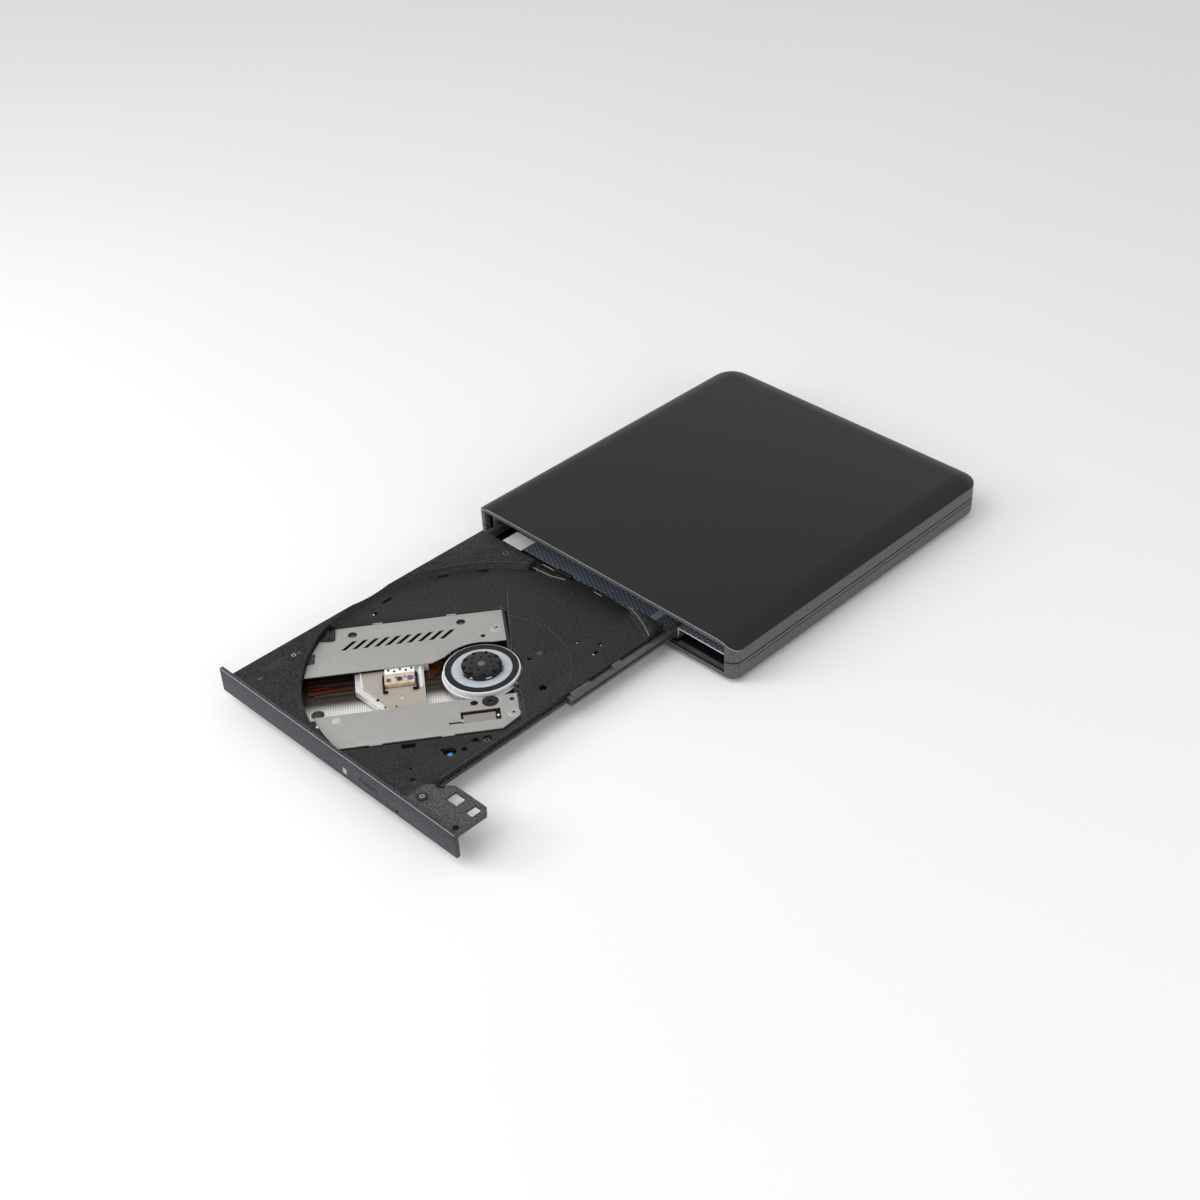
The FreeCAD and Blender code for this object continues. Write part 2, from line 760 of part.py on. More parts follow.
def make_bottom_shell():
    body = prism("bottom_block", case_outline("0", "0"), ("foot_height", SEAM))
    document.recompute()
    low = value("foot_height")
    block = body.Tip
    rim = [f"Edge{i}" for i, edge in enumerate(block.Shape.Edges, start=1)
           if abs(edge.BoundBox.ZMax - low) < 1e-6]
    rounding = body.newObject("PartDesign::Fillet", "bottom_rounding")
    rounding.Base = (block, rim)
    bind(rounding, "Radius", "bottom_round")
    room = prism("bottom_room", case_outline("shell_wall", "lip_depth"), (CAVITY_FLOOR, f"{SEAM} + 1"))
    seam_outside = prism("seam_outside", case_outline("-1", "-1"), (f"{SEAM} - seam_gap", f"{SEAM} + 1"))
    seam_inside = prism("seam_inside", case_outline("seam_depth", "seam_depth"),
                        (f"{SEAM} - seam_gap", f"{SEAM} + 1"))
    seam = cut("seam_ring", seam_outside, seam_inside)
    groove = box("lip_groove_cut", (f"-{MOUTH_SIDE}", MOUTH_SIDE),
                 (f"{CASE_FRONT} + lip_groove", f"{CASE_FRONT} + 2 * lip_groove"),
                 (f"{MOUTH_LOW} - lip_groove_depth", f"{MOUTH_LOW} + 1"))
    line_z = (f"{SEAM} - line_drop - line_height", f"{SEAM} - line_drop")
    line = cut("line_ring", prism("line_outside", case_outline("-1", "2 * lip_depth"), line_z),
               prism("line_inside", case_outline("line_depth", "lip_depth"), line_z))
    hollow = cut("bottom_hollow", body, room, mouth_cutter("bottom_mouth"), seam, line, groove)
    solids = []
    drills = []
    for i, (x, y) in enumerate(screw_spots()):
        solids.append(cylinder(f"bottom_boss_{i}", x, y, ("foot_height + shell_floor", SEAM), "boss_radius"))
        drills += screw_drill(f"shell_{i}", x, y, SEAM)
    for i, (x, y) in enumerate(pad_spots()):
        half = "pad_size / 2"
        solids.append(box(f"drive_pad_{i}", (f"{x} - {half}", f"{x} + {half}"),
                          (f"{y} - {half}", f"{y} + {half}"), (CAVITY_FLOOR, DRIVE_LOW)))
        drills += screw_drill(f"pad_{i}", x, y, DRIVE_LOW)
    for i, (x, y) in enumerate(post_spots()):
        solids.append(cylinder(f"board_post_{i}", x, y, (CAVITY_FLOOR, BRIDGE_BOARD), "post_radius"))
        drills.append(cylinder(f"post_drill_{i}", x, y, (CAVITY_FLOOR, f"{BRIDGE_BOARD} + 1"),
                               "screw_radius"))
    for i, (x, y) in enumerate(foot_spots()):
        drills.append(cylinder(f"foot_pocket_{i}", x, y, ("foot_height - 1", "foot_height + foot_seat"),
                               "foot_radius"))
    filled = fuse("bottom_filled", hollow, *solids)
    keep("bottom_shell", cut("bottom_shell_solid", filled, *drills))


def screw_drill(name, x, y, top):
    head = ("foot_height - 1", "foot_height + screw_sink + screw_head_height")
    return [cylinder(f"{name}_head_drill", x, y, head, "screw_head_radius + screw_sink"),
            cylinder(f"{name}_drill", x, y, ("foot_height", f"{top} + 1"), "screw_radius")]


def screw_up(name, x, y, top):
    # A screw from below, with its head sunk in the case's floor.
    low = "(foot_height + screw_sink)"
    head = cylinder(f"{name}_head", x, y, (low, f"{low} + screw_head_height"), "screw_head_radius")
    shank = cylinder(f"{name}_shank", x, y, (f"{low} + screw_head_height", top), "screw_radius")
    return fuse(name, head, shank)


def screw_down(name, x, y, seat, tip, radius, head_radius, head_height):
    head = cylinder(f"{name}_head", x, y, (seat, f"{seat} + {head_height}"), head_radius)
    shank = cylinder(f"{name}_shank", x, y, (tip, seat), radius)
    return fuse(name, head, shank)


def foot_spots():
    side = f"({CASE_SIDE} - foot_inset)"
    rows = (inside_case("foot_inset"), f"({CASE_BACK} - foot_inset)")
    return [(f"{sign}{side}", row) for row in rows for sign in ("-", "")]


def make_feet():
    feet = [cylinder(f"foot_{i}", x, y, ("0", "foot_height + foot_seat"), "foot_radius")
            for i, (x, y) in enumerate(foot_spots())]
    keep("rubber_feet", group("feet_group", *feet))


def make_case_screws():
    screws = [screw_up(f"shell_screw_{i}", x, y, f"{SEAM} + 3") for i, (x, y) in enumerate(screw_spots())]
    keep("shell_screws", group("shell_screw_group", *screws))
    fasteners = [screw_up(f"drive_screw_{i}", x, y, PAN_FLOOR) for i, (x, y) in enumerate(pad_spots())]
    for i, (x, y) in enumerate(post_spots()):
        fasteners.append(screw_down(f"board_screw_{i}", x, y, BRIDGE_TOP, f"{BRIDGE_BOARD} - 3",
                                    "screw_radius", "screw_head_radius", "screw_head_height"))
    keep("drive_screws", group("drive_screw_group", *fasteners))


def make_bridge_board():
    front = f"({DRIVE_BACK} + bridge_board_setback)"
    back = f"({CASE_BACK} - shell_wall - 0.3)"
    corners = [("bridge_board_left", front), (BRIDGE_RIGHT, front),
               (BRIDGE_RIGHT, back), ("bridge_board_left", back)]
    holes = [(x, y, "screw_radius") for x, y in post_spots()]
    keep("bridge_board", prism("bridge_board_plate", corners, (BRIDGE_BOARD, BRIDGE_TOP), holes))
    low = f"({CASE_BACK} - usb_setback - usb_length)"
    high = f"({CASE_BACK} - usb_setback)"
    outer_x = ("usb_position - usb_width / 2", "usb_position + usb_width / 2")
    inner_x = (f"{outer_x[0]} + usb_wall", f"{outer_x[1]} - usb_wall")
    shell = box("usb_outside", outer_x, (low, high), (BRIDGE_TOP, f"{BRIDGE_TOP} + usb_height"))
    hollow = box("usb_inside", inner_x, (f"{low} + usb_wall", f"{high} + 1"),
                 (f"{BRIDGE_TOP} + usb_wall", f"{BRIDGE_TOP} + usb_height - usb_wall"))
    middle = f"({BRIDGE_TOP} + usb_height / 2)"
    tongue = box("usb_tongue", ("usb_position - usb_tongue_width / 2", "usb_position + usb_tongue_width / 2"),
                 (f"{low} + usb_wall", f"{high} - 1"),
                 (f"{middle} - usb_tongue_height / 2", f"{middle} + usb_tongue_height / 2"))
    keep("usb_socket", fuse("usb_socket_solid", cut("usb_shell", shell, hollow), tongue))


def make_drive_connectors():
    mate = f"({DRIVE_BACK} + plug_mate)"
    keep("sata_plug", box("sata_plug_block", (PLUG_LEFT, PLUG_RIGHT),
                          (mate, f"{mate} + plug_length"), (BRIDGE_TOP, PLUG_TOP)))
    keep("drive_connector", box("drive_connector_block", (f"{PLUG_LEFT} + 1", f"{PLUG_RIGHT} - 1"),
                                (f"{mate} - plug_length - 2", mate),
                                (MAIN_TOP, PLUG_TOP)))


def make_chips():
    bridge = box("bridge_chip", ("usb_position + 8", "usb_position + 15"),
                 (f"{DRIVE_BACK} + bridge_board_setback + 6", f"{DRIVE_BACK} + bridge_board_setback + 13"),
                 (BRIDGE_TOP, f"{BRIDGE_TOP} + board_thickness"))
    servo = box("servo_chip", (f"{STEP} + 6", f"{STEP} + 18"),
                (inside_case("main_board_front + 20"), inside_case("main_board_front + 32")),
                (MAIN_TOP, f"{MAIN_TOP} + 0.4"))
    memory = box("memory_chip", (f"{STEP} + 6", f"{STEP} + 15"),
                 (inside_case("main_board_front + 45"), inside_case("main_board_front + 52")),
                 (MAIN_TOP, f"{MAIN_TOP} + 0.4"))
    keep("circuit_chips", group("chip_group", bridge, servo, memory))


def make_main_board():
    left = f"({STEP} + sheet + 2)"
    right = f"({PAN_SIDE} - sheet - 0.5)"
    front = inside_case("main_board_front")
    back = f"({DRIVE_BACK} - sheet - 0.6)"
    corners = [(left, front), (right, front), (right, back), (left, back)]
    keep("main_board", prism("main_board_plate", corners, (f"{SHELF} + film", MAIN_TOP)))


def make_base_pan():
    side = PAN_SIDE
    run = (DRIVE_FRONT, DRIVE_BACK)
    wall_z = (DRIVE_LOW, COVER_UNDERSIDE)
    step = f"({STEP} + sheet)"
    profile = [(f"-{side}", DRIVE_LOW), (step, DRIVE_LOW), (step, f"{SHELF} - sheet"),
               (side, f"{SHELF} - sheet"), (side, COVER_UNDERSIDE),
               (f"{side} - sheet", COVER_UNDERSIDE), (f"{side} - sheet", SHELF),
               (STEP, SHELF), (STEP, PAN_FLOOR),
               (f"-{side} + sheet", PAN_FLOOR), (f"-{side} + sheet", COVER_UNDERSIDE),
               (f"-{side}", COVER_UNDERSIDE)]
    body = document.addObject("PartDesign::Body", "pan_sheet")
    # The plane's normal is -Y, so the profile is drawn at the back and padded forward.
    sketch = new_sketch(body, "pan_profile", "XZ_Plane", f"-({DRIVE_BACK})")
    draw_polygon(sketch, profile)
    pad(body, sketch, "drive_length")
    rear = box("pan_rear", (f"-{side}", STEP), (f"{run[1]} - sheet", run[1]), wall_z)
    rear_shelf = box("pan_rear_shelf", (STEP, side), (f"{run[1]} - sheet", run[1]),
                     (f"{SHELF} - sheet", COVER_UNDERSIDE))
    tabs = []
    for i, (x, y) in enumerate(tab_spots()):
        half = "tab_size / 2"
        tabs.append(box(f"pan_tab_{i}", (f"{x} - {half}", f"{x} + {half}"),
                        (f"{y} - {half}", f"{y} + {half}"), (f"{COVER_UNDERSIDE} - sheet", COVER_UNDERSIDE)))
    whole = fuse("pan_whole", body, rear, rear_shelf, *tabs)
    doorway = box("pan_doorway", (f"{PLUG_LEFT} + 0.7", f"{PLUG_RIGHT} - 0.7"),
                  (f"{run[1]} - sheet - 1", f"{run[1]} + 1"),
                  (f"{MAIN_TOP} - 0.3", f"{COVER_UNDERSIDE} + 1"))
    drills = [cylinder(f"pan_drill_{i}", x, y, (f"{DRIVE_LOW} - 1", f"{PAN_FLOOR} + 1"), "screw_radius")
              for i, (x, y) in enumerate(pad_spots())]
    drills += [cylinder(f"tab_drill_{i}", x, y, (f"{COVER_UNDERSIDE} - 1", f"{COVER_UNDERSIDE} + 1"),
                        "screw_radius") for i, (x, y) in enumerate(tab_spots())]
    keep("base_pan", cut("base_pan_solid", whole, doorway, *drills))


def tab_spots():
    side = f"({PAN_SIDE} - sheet / 2 - tab_size / 2)"
    rows = (inside_case("tab_inset"), f"({DRIVE_BACK} - tab_inset / 2)")
    return [(f"{sign}{side}", row) for row in rows for sign in ("-", "")]


def make_drive_cover():
    side = "(drive_width / 2)"
    run = (DRIVE_FRONT, DRIVE_BACK)
    top = box("cover_top", (f"-{side}", side), run, (COVER_UNDERSIDE, DRIVE_HIGH))
    flange = (f"{COVER_UNDERSIDE} - cover_flange", COVER_UNDERSIDE)
    left = box("cover_left", (f"-{side}", f"-{side} + sheet"), run, flange)
    right = box("cover_right", (f"{side} - sheet", side), run, flange)
    whole = fuse("cover_whole", top, left, right)
    through = (f"{COVER_UNDERSIDE} - 1", f"{DRIVE_HIGH} + 1")
    drills = [cylinder(f"cover_drill_{i}", x, y, through, "screw_radius")
              for i, (x, y) in enumerate(tab_spots())]
    keep("drive_cover", cut("drive_cover_solid", whole, *drills))
    screws = [screw_down(f"cover_screw_{i}", x, y, DRIVE_HIGH, f"{COVER_UNDERSIDE} - sheet",
                         "screw_radius", "screw_head_radius", "screw_head_height / 2")
              for i, (x, y) in enumerate(tab_spots())]
    keep("cover_screws", group("cover_screw_group", *screws))


def make_floor_film():
    run = (f"{DRIVE_FRONT} + 0.5", f"{DRIVE_BACK} - sheet - 1")
    left = f"(-{PAN_SIDE} + 3 * sheet + groove_depth)"
    floor = box("film_floor", (left, f"{STEP} - 4 * rail_gap - groove_depth"), run,
                (PAN_FLOOR, f"{PAN_FLOOR} + film"))
    shelf = box("film_shelf", (f"{STEP} + sheet + 0.3", f"{PAN_SIDE} - 2 * sheet"), run,
                (SHELF, f"{SHELF} + film"))
    gap = cylinder("film_pin_hole", LOCK_PIN_X, inside_case("lock_pin_back"), (SHELF, f"{SHELF} + 1"),
                   "lock_pin_radius + 0.3")
    keep("floor_film", group("film_group", floor, cut("film_shelf_cut", shelf, gap)))


def rail_levels():
    low = f"({TRAY_LOW} + rail_low)"
    high = f"({TRAY_FLOOR} - rail_top_gap)"
    groove = f"({TRAY_LOW} + groove_low)"
    return low, high, (groove, f"({groove} + groove_height)")


def guide_levels():
    groove = rail_levels()[2]
    return f"{groove[0]} + tongue_clearance", f"{groove[1]} - tongue_clearance"


def make_left_rail():
    wall = f"(-{PAN_SIDE} + sheet)"
    outer = f"({wall} + rail_gap)"
    inner = f"(-{TRAY_LEFT} - rail_gap)"
    make_rail("left", (outer, inner), (outer, f"{outer} + groove_depth"), (f"{inner} - groove_depth", inner))
    keep("left_guide_rail", box("left_guide", (wall, f"{outer} + groove_depth - tongue_clearance"),
                                (f"{DRIVE_FRONT} + guide_setback", f"{DRIVE_BACK} - guide_setback"),
                                guide_levels()))


def make_right_rail():
    wall = STEP
    outer = f"({wall} - rail_gap)"
    inner = f"({TRAY_RIGHT} + rail_gap)"
    make_rail("right", (inner, outer), (inner, f"{inner} + groove_depth"), (f"{outer} - groove_depth", outer))
    keep("right_guide_rail", box("right_guide", (f"{outer} - groove_depth + tongue_clearance", wall),
                                 (f"{DRIVE_FRONT} + guide_setback", f"{DRIVE_BACK} - guide_setback"),
                                 guide_levels()))


def make_rail(side, width, first_groove, second_groove):
    # A bar with a groove in each flank; it slides on its guide while the tray slides on it.
    low, high, groove_z = rail_levels()
    front = behind_bezel("rail_front")
    run = (front, f"{front} + rail_length")
    beyond = (f"{run[0]} - 1", f"{run[1]} + 1")
    bar = box(f"{side}_bar", width, run, (low, high))
    first = box(f"{side}_groove_1", first_groove, beyond, groove_z)
    second = box(f"{side}_groove_2", second_groove, beyond, groove_z)
    beside = (f"{width[0]} - 1", f"{width[1]} + 1")
    low_part = (f"{high} - rail_notch_depth", f"{high} + 1")
    notch_start = f"({front} + rail_lead + rail_block)"
    notch_end = f"({notch_start} + rail_notch_length)"
    cuts = [box(f"{side}_lead", beside, (f"{front} - 1", f"{front} + rail_lead"), low_part),
            box(f"{side}_notch", beside, (notch_start, notch_end), low_part),
            box(f"{side}_low_run", beside, (f"{notch_end} + rail_second_block", beyond[1]), low_part)]
    keep(f"{side}_slide_rail", cut(f"{side}_rail_solid", bar, first, second, *cuts))


def tray_outline(name, inset, z):
    # The tray seen from above: straight in front and at the sides, round about the spindle at the back.
    left = f"(-{TRAY_LEFT} + {inset})"
    right = f"({TRAY_RIGHT} - {inset})"
    front = f"({behind_bezel('bezel_thickness')} + {inset})"
    middle = SPINDLE_Y
    end = f"({middle} + tray_rear_radius + 5)"
    front_half = box(f"{name}_front", (left, right), (front, middle), z)
    disc = cylinder(f"{name}_round", SPINDLE_X, middle, z, f"tray_rear_radius - {inset}")
    left_pad = box(f"{name}_left_pad", (left, f"-left_pad_edge - {inset}"),
                   (middle, f"{behind_bezel('left_pad_back')} - {inset}"), z)
    right_pad = box(f"{name}_right_pad", (f"right_pad_edge + {inset}", right),
                    (middle, f"{behind_bezel('right_pad_back')} - {inset}"), z)
    whole = fuse(f"{name}_whole", front_half, disc, left_pad, right_pad)
    frame = box(f"{name}_frame", (left, right), (front, end), z)
    return common(f"{name}_outline", whole, frame)


def ear_corners(inset):
    left = f"({TRAY_RIGHT} - tray_wall)"
    front = f"({behind_bezel('bezel_thickness')} + {inset})"
    right = f"({EAR_RIGHT} - {inset})"
    back = f"({behind_bezel('ear_back')} - {inset})"
    return [(left, front), (right, front), (right, f"{back} - ear_chamfer"),
            (f"{right} - ear_chamfer", back), (left, back)]


def ear_cutters():
    hollow_left = f"({TRAY_RIGHT} + ear_skirt)"
    hollow = prism("ear_hollow", [(hollow_left, corner[1]) if i in (0, 4) else corner
                                  for i, corner in enumerate(ear_corners("ear_skirt"))],
                   (f"{EAR_LOW} - 1", EAR_CEILING))
    pin_left = f"{LOCK_PIN_X} - lock_pin_radius - pin_door_left"
    pin_right = f"{LOCK_PIN_X} + lock_pin_radius + pin_door_right"
    pin_door = box("pin_door", (pin_left, pin_right),
                   (behind_bezel("ear_back - 2"), behind_bezel("ear_back + 1")),
                   (f"{EAR_LOW} - 1", f"{EAR_CEILING} - 0.1"))
    arm_channel = box("arm_channel", (f"{TRAY_RIGHT} - 5", f"{hollow_left} + 0.1"),
                      (behind_bezel("bezel_thickness + tray_wall"), behind_bezel("pivot_back + 2.7")),
                      (f"{TRAY_CEILING} - 1", f"{EAR_CEILING} - 0.1"))
    through = (f"{EAR_LOW} - 1", f"{EAR_TOP} + 1")
    wide = f"({TRAY_RIGHT} + wide_window_reach)"
    narrow = f"({EAR_RIGHT} - narrow_window_inset)"
    window_run = (behind_bezel("ear_window_back - ear_window_length"), behind_bezel("ear_window_back"))
    wide_window = box("wide_window", (wide, f"{wide} + wide_window_width"), window_run, through)
    narrow_window = box("narrow_window", (narrow, f"{narrow} + narrow_window_width"), window_run, through)
    corner_hole = cylinder("corner_hole", f"{EAR_RIGHT} - ear_hole_inset", behind_bezel("ear_hole_back"),
                           through, "ear_hole_radius")
    pivot_hole = cylinder("pivot_hole", PIVOT_X, behind_bezel("pivot_back"), through, "pivot_radius")
    slot = slot_bar("ear_slot", (f"({TRAY_RIGHT} + ear_slot_reach)", behind_bezel("ear_slot_back")),
                    (f"({TRAY_RIGHT} + ear_slot_end_reach)", behind_bezel("ear_slot_end_back")),
                    "ear_slot_half", through)
    return [hollow, pin_door, arm_channel, wide_window, narrow_window, corner_hole, pivot_hole, slot]


def slot_bar(name, start, end, half, z):
    # The cutter of a straight slot with square ends between two points.
    turn = math.atan2(value(end[1]) - value(start[1]), value(end[0]) - value(start[0]))
    bar = document.addObject("Part::Box", name)
    bind(bar, "Length", f"sqrt(({end[0]} - {start[0]}) ^ 2 + ({end[1]} - {start[1]}) ^ 2)")
    bind(bar, "Width", f"2 * {half}")
    bind(bar, "Height", f"({z[1]}) - ({z[0]})")
    bar.Placement = FreeCAD.Placement(FreeCAD.Vector(), FreeCAD.Rotation(FreeCAD.Vector(0, 0, 1),
                                                                         math.degrees(turn)))
    place(bar, f"{start[0]} + {half} * {math.sin(turn):.6f}",
          f"{start[1]} - {half} * {math.cos(turn):.6f}", z[0])
    return bar


def recess_cutter():
    # The disc's recess: round, with a wall that leans outward.
    cone = document.addObject("Part::Cone", "recess")
    bind(cone, "Radius1", "recess_radius")
    bind(cone, "Radius2", "recess_radius + recess_slope * (tray_rim + ear_rise + 1) / tray_rim")
    bind(cone, "Height", "tray_rim + ear_rise + 1")
    place(cone, SPINDLE_X, SPINDLE_Y, TRAY_FLOOR)
    return cone


def traverse_outline(name, grow, z):
    # A band along the track, round at its outer end and cut off beside the tray's right wall.
    band = track_box(f"{name}_band", (f"-frame_left - {grow}", f"frame_right + {grow}"),
                     ("-frame_radius - 5", f"frame_end + {grow}"), z)
    arc = cylinder(f"{name}_arc", SPINDLE_X, SPINDLE_Y, z, f"frame_radius + {grow}")
    return common(f"{name}_outline", band, arc, between_sides(f"{name}_limit", grow, z))


def between_sides(name, grow, z):
    # The room between the tray's two side walls.
    return box(name, (f"tray_wall - {TRAY_LEFT}", f"{TRAY_RIGHT} - frame_side_room + {grow}"),
               (f"{SPINDLE_Y} - frame_radius - 5", f"{SPINDLE_Y} + frame_radius"), z)


def plate_screw_spots():
    return [(f"-{TRAY_LEFT} + front_left_side", behind_bezel("front_left_back")),
            (f"-{TRAY_LEFT} + rear_left_side", behind_bezel("left_pad_back - rear_left_inset")),
            (f"{TRAY_RIGHT} - rear_right_side", behind_bezel("right_pad_back - rear_right_inset")),
            (f"{TRAY_RIGHT} - front_right_side", behind_bezel("front_right_back"))]


def board_boss_spots():
    return [("left_boss_x", behind_bezel("left_boss_back")), ("right_boss_x", behind_bezel("right_boss_back"))]


def floor_cutters():
    z = (f"{TRAY_CEILING} - 1", f"{TRAY_FLOOR} + 1")
    cutters = [cylinder(f"{name}_hole", from_side(hole[0], f"{name}_inset"), behind_bezel(f"{name}_back"), z,
                        f"{name}_radius") for name, hole in FLOOR_HOLES.items()]
    for name, slot in FLOOR_SLOTS.items():
        start = (from_side(slot[0], f"{name}_inset"), behind_bezel(f"{name}_back"))
        end = (from_side(slot[0], f"{name}_end_inset"), behind_bezel(f"{name}_end_back"))
        cutters.append(slot_bar(f"{name}_bar", start, end, f"{name}_half", z))
    return cutters


def from_side(side, inset):
    return f"({TRAY_RIGHT} - {inset})" if side == "right" else f"({inset} - {TRAY_LEFT})"


def make_tray():
    low = PLATE_TOP
    slab = tray_outline("tray_slab", "0", (low, RIM_TOP))
    ear = prism("ear_block", ear_corners("0"), (EAR_LOW, EAR_TOP))
    hollow = tray_outline("tray_hollow", "tray_wall", (f"{low} - 1", TRAY_CEILING))
    window_z = (f"{low} - 1", f"{RIM_TOP} + 1")
    window = fuse("window", traverse_outline("window_band", "frame_clearance", window_z),
                  cylinder("window_round", SPINDLE_X, SPINDLE_Y, window_z,
                           "turntable_radius + frame_clearance"))
    tongue_z = guide_levels()
    tongue_y = (behind_bezel("ear_back + 1"), behind_bezel("left_pad_back - 2"))
    reach = "(rail_gap + groove_depth - tongue_clearance)"
    left_tongue = box("left_tongue", (f"-{TRAY_LEFT} - {reach}", f"-{TRAY_LEFT}"), tongue_y, tongue_z)
    right_tongue = box("right_tongue", (TRAY_RIGHT, f"{TRAY_RIGHT} + {reach}"), tongue_y, tongue_z)
    shell = cut("tray_shell", fuse("tray_blank", slab, ear), hollow, recess_cutter(), window,
                *ear_cutters(), *floor_cutters())
    bosses = [cylinder(f"tray_boss_{i}", x, y, (low, TRAY_FLOOR), "tray_boss_radius")
              for i, (x, y) in enumerate(plate_screw_spots())]
    bosses += [cylinder(f"board_boss_{i}", x, y, (board_levels()[1], TRAY_FLOOR), "board_boss_radius")
               for i, (x, y) in enumerate(board_boss_spots())]
    body = fuse("tray_body", shell, left_tongue, right_tongue, *bosses)
    drills = [cylinder(f"tray_drill_{i}", x, y, (f"{low} - 1", f"{low} + tray_screw_depth"), "screw_radius")
              for i, (x, y) in enumerate(plate_screw_spots())]
    keep("tray", cut("tray_solid", body, *front_openings("tray", "bezel_thickness", "tray_wall"), *drills))


def front_openings(name, start, depth):
    # Ways through the front for the button's stem, the lamp and the emergency pin.
    run = (f"{behind_bezel(start)} - 1", f"{behind_bezel(start)} + {depth} + 1")
    half = "(stem_half_width + stem_side_play)"
    stem = box(f"{name}_stem_door", (f"button_x - {half}", f"button_x + {half}"), run, stem_levels("0.3"))
    lamp = box(f"{name}_lamp_door", ("lamp_x - lamp_width / 2", "lamp_x + lamp_width / 2"), run,
               (f"{BEZEL_LOW} + lamp_low", f"{BEZEL_LOW} + lamp_low + lamp_height"))
    pin = lying_cylinder(f"{name}_pinhole", "pinhole_x", run, f"{BEZEL_LOW} + pinhole_height",
                         "pinhole_radius", "y")
    return [stem, lamp, pin]


def stem_levels(play):
    middle = f"({board_levels()[1]} + switch_height / 2)"
    return f"{middle} - stem_half_height - {play}", f"{middle} + stem_half_height + {play}"


def make_bezel():
    half = "(drive_width / 2)"
    run = (BEZEL_FRONT, behind_bezel("bezel_thickness"))
    plate = box("bezel_plate", (f"-{half}", half), run, (BEZEL_LOW, BEZEL_HIGH))
    low = f"({BEZEL_LOW} + button_low)"
    opening = box("button_opening", ("button_x - button_width / 2", "button_x + button_width / 2"),
                  (f"{run[0]} - 1", f"{run[1]} + 1"), (low, f"{low} + button_height"))
    doors = front_openings("bezel", "0", "bezel_thickness")
    keep("bezel", cut("bezel_solid", plate, opening, *doors))
    half_cap = "(button_width / 2 - button_gap)"
    cap = box("button_cap", (f"button_x - {half_cap}", f"button_x + {half_cap}"),
              (BEZEL_FRONT, behind_bezel("bezel_thickness - button_travel - 0.1")),
              (f"{low} + button_gap", f"{low} + button_height - button_gap"))
    stem = box("button_stem", ("button_x - stem_half_width", "button_x + stem_half_width"),
               (BEZEL_FRONT, behind_bezel("bezel_thickness + tray_wall - 0.1")), stem_levels("0"))
    keep("eject_button", fuse("eject_button_solid", cap, stem))


def board_levels():
    low = f"({PLATE_TOP} + frame_gap)"
    return low, f"({low} + board_thickness * 0.8)"


def make_tray_board():
    back = behind_bezel("bezel_thickness + tray_wall + button_travel")
    low, high = board_levels()
    right = f"({TRAY_RIGHT} - tray_board_inset)"
    slope = f"({right} - tray_board_left) * tray_board_slant"
    board_back = behind_bezel("tray_board_back")
    corners = [("tray_board_left", back), (right, back), (right, f"{board_back} + {slope}"),
               ("tray_board_left", board_back)]
    keep("tray_board", prism("tray_board_plate", corners, (low, high)))
    switch_side = ("button_x - switch_half_width", "button_x + switch_half_width")
    keep("eject_switch", box("switch_block", switch_side, (back, f"{back} + switch_length"),
                             (high, f"{high} + switch_height")))
    pipe = box("lamp_pipe", ("lamp_x - lamp_width / 2", "lamp_x + lamp_width / 2"),
               (BEZEL_FRONT, behind_bezel("bezel_thickness + tray_wall")),
               (f"{BEZEL_LOW} + lamp_low", f"{BEZEL_LOW} + lamp_low + lamp_height"))
    lamp = box("lamp_die", ("lamp_x - lamp_die_half", "lamp_x + lamp_die_half"),
               (f"{back} + 0.1", f"{back} + 0.1 + lamp_die_length"), (high, f"{high} + lamp_die_height"))
    keep("status_lamp", group("lamp_group", pipe, lamp))


def make_bottom_plate():
    sheet_plate = tray_outline("plate", "0.3", (TRAY_LOW, PLATE_TOP))
    through = (f"{TRAY_LOW} - 1", f"{PLATE_TOP} + 1")
    hole = track_cylinder("plate_hole", "plate_hole_across", "plate_hole_inset - frame_radius", through,
                          "plate_hole_radius")
    drills = [cylinder(f"plate_drill_{i}", x, y, through, "screw_radius")
              for i, (x, y) in enumerate(plate_screw_spots())]
    keep("tray_bottom_plate", cut("tray_plate_solid", sheet_plate, hole, *drills))
    screws = [cylinder(f"plate_screw_{i}", x, y, (TRAY_LOW, f"{PLATE_TOP} + tray_screw_depth"), "screw_radius")
              for i, (x, y) in enumerate(plate_screw_spots())]
    damper_run = (PLATE_TOP, f"{COVER_LOW} - 0.4")
    screws += [track_cylinder(f"damper_screw_{i}", across, along, damper_run, "grommet_bore")
               for i, (across, along) in enumerate(grommet_spots())]
    keep("tray_screws", group("tray_screw_group", *screws))


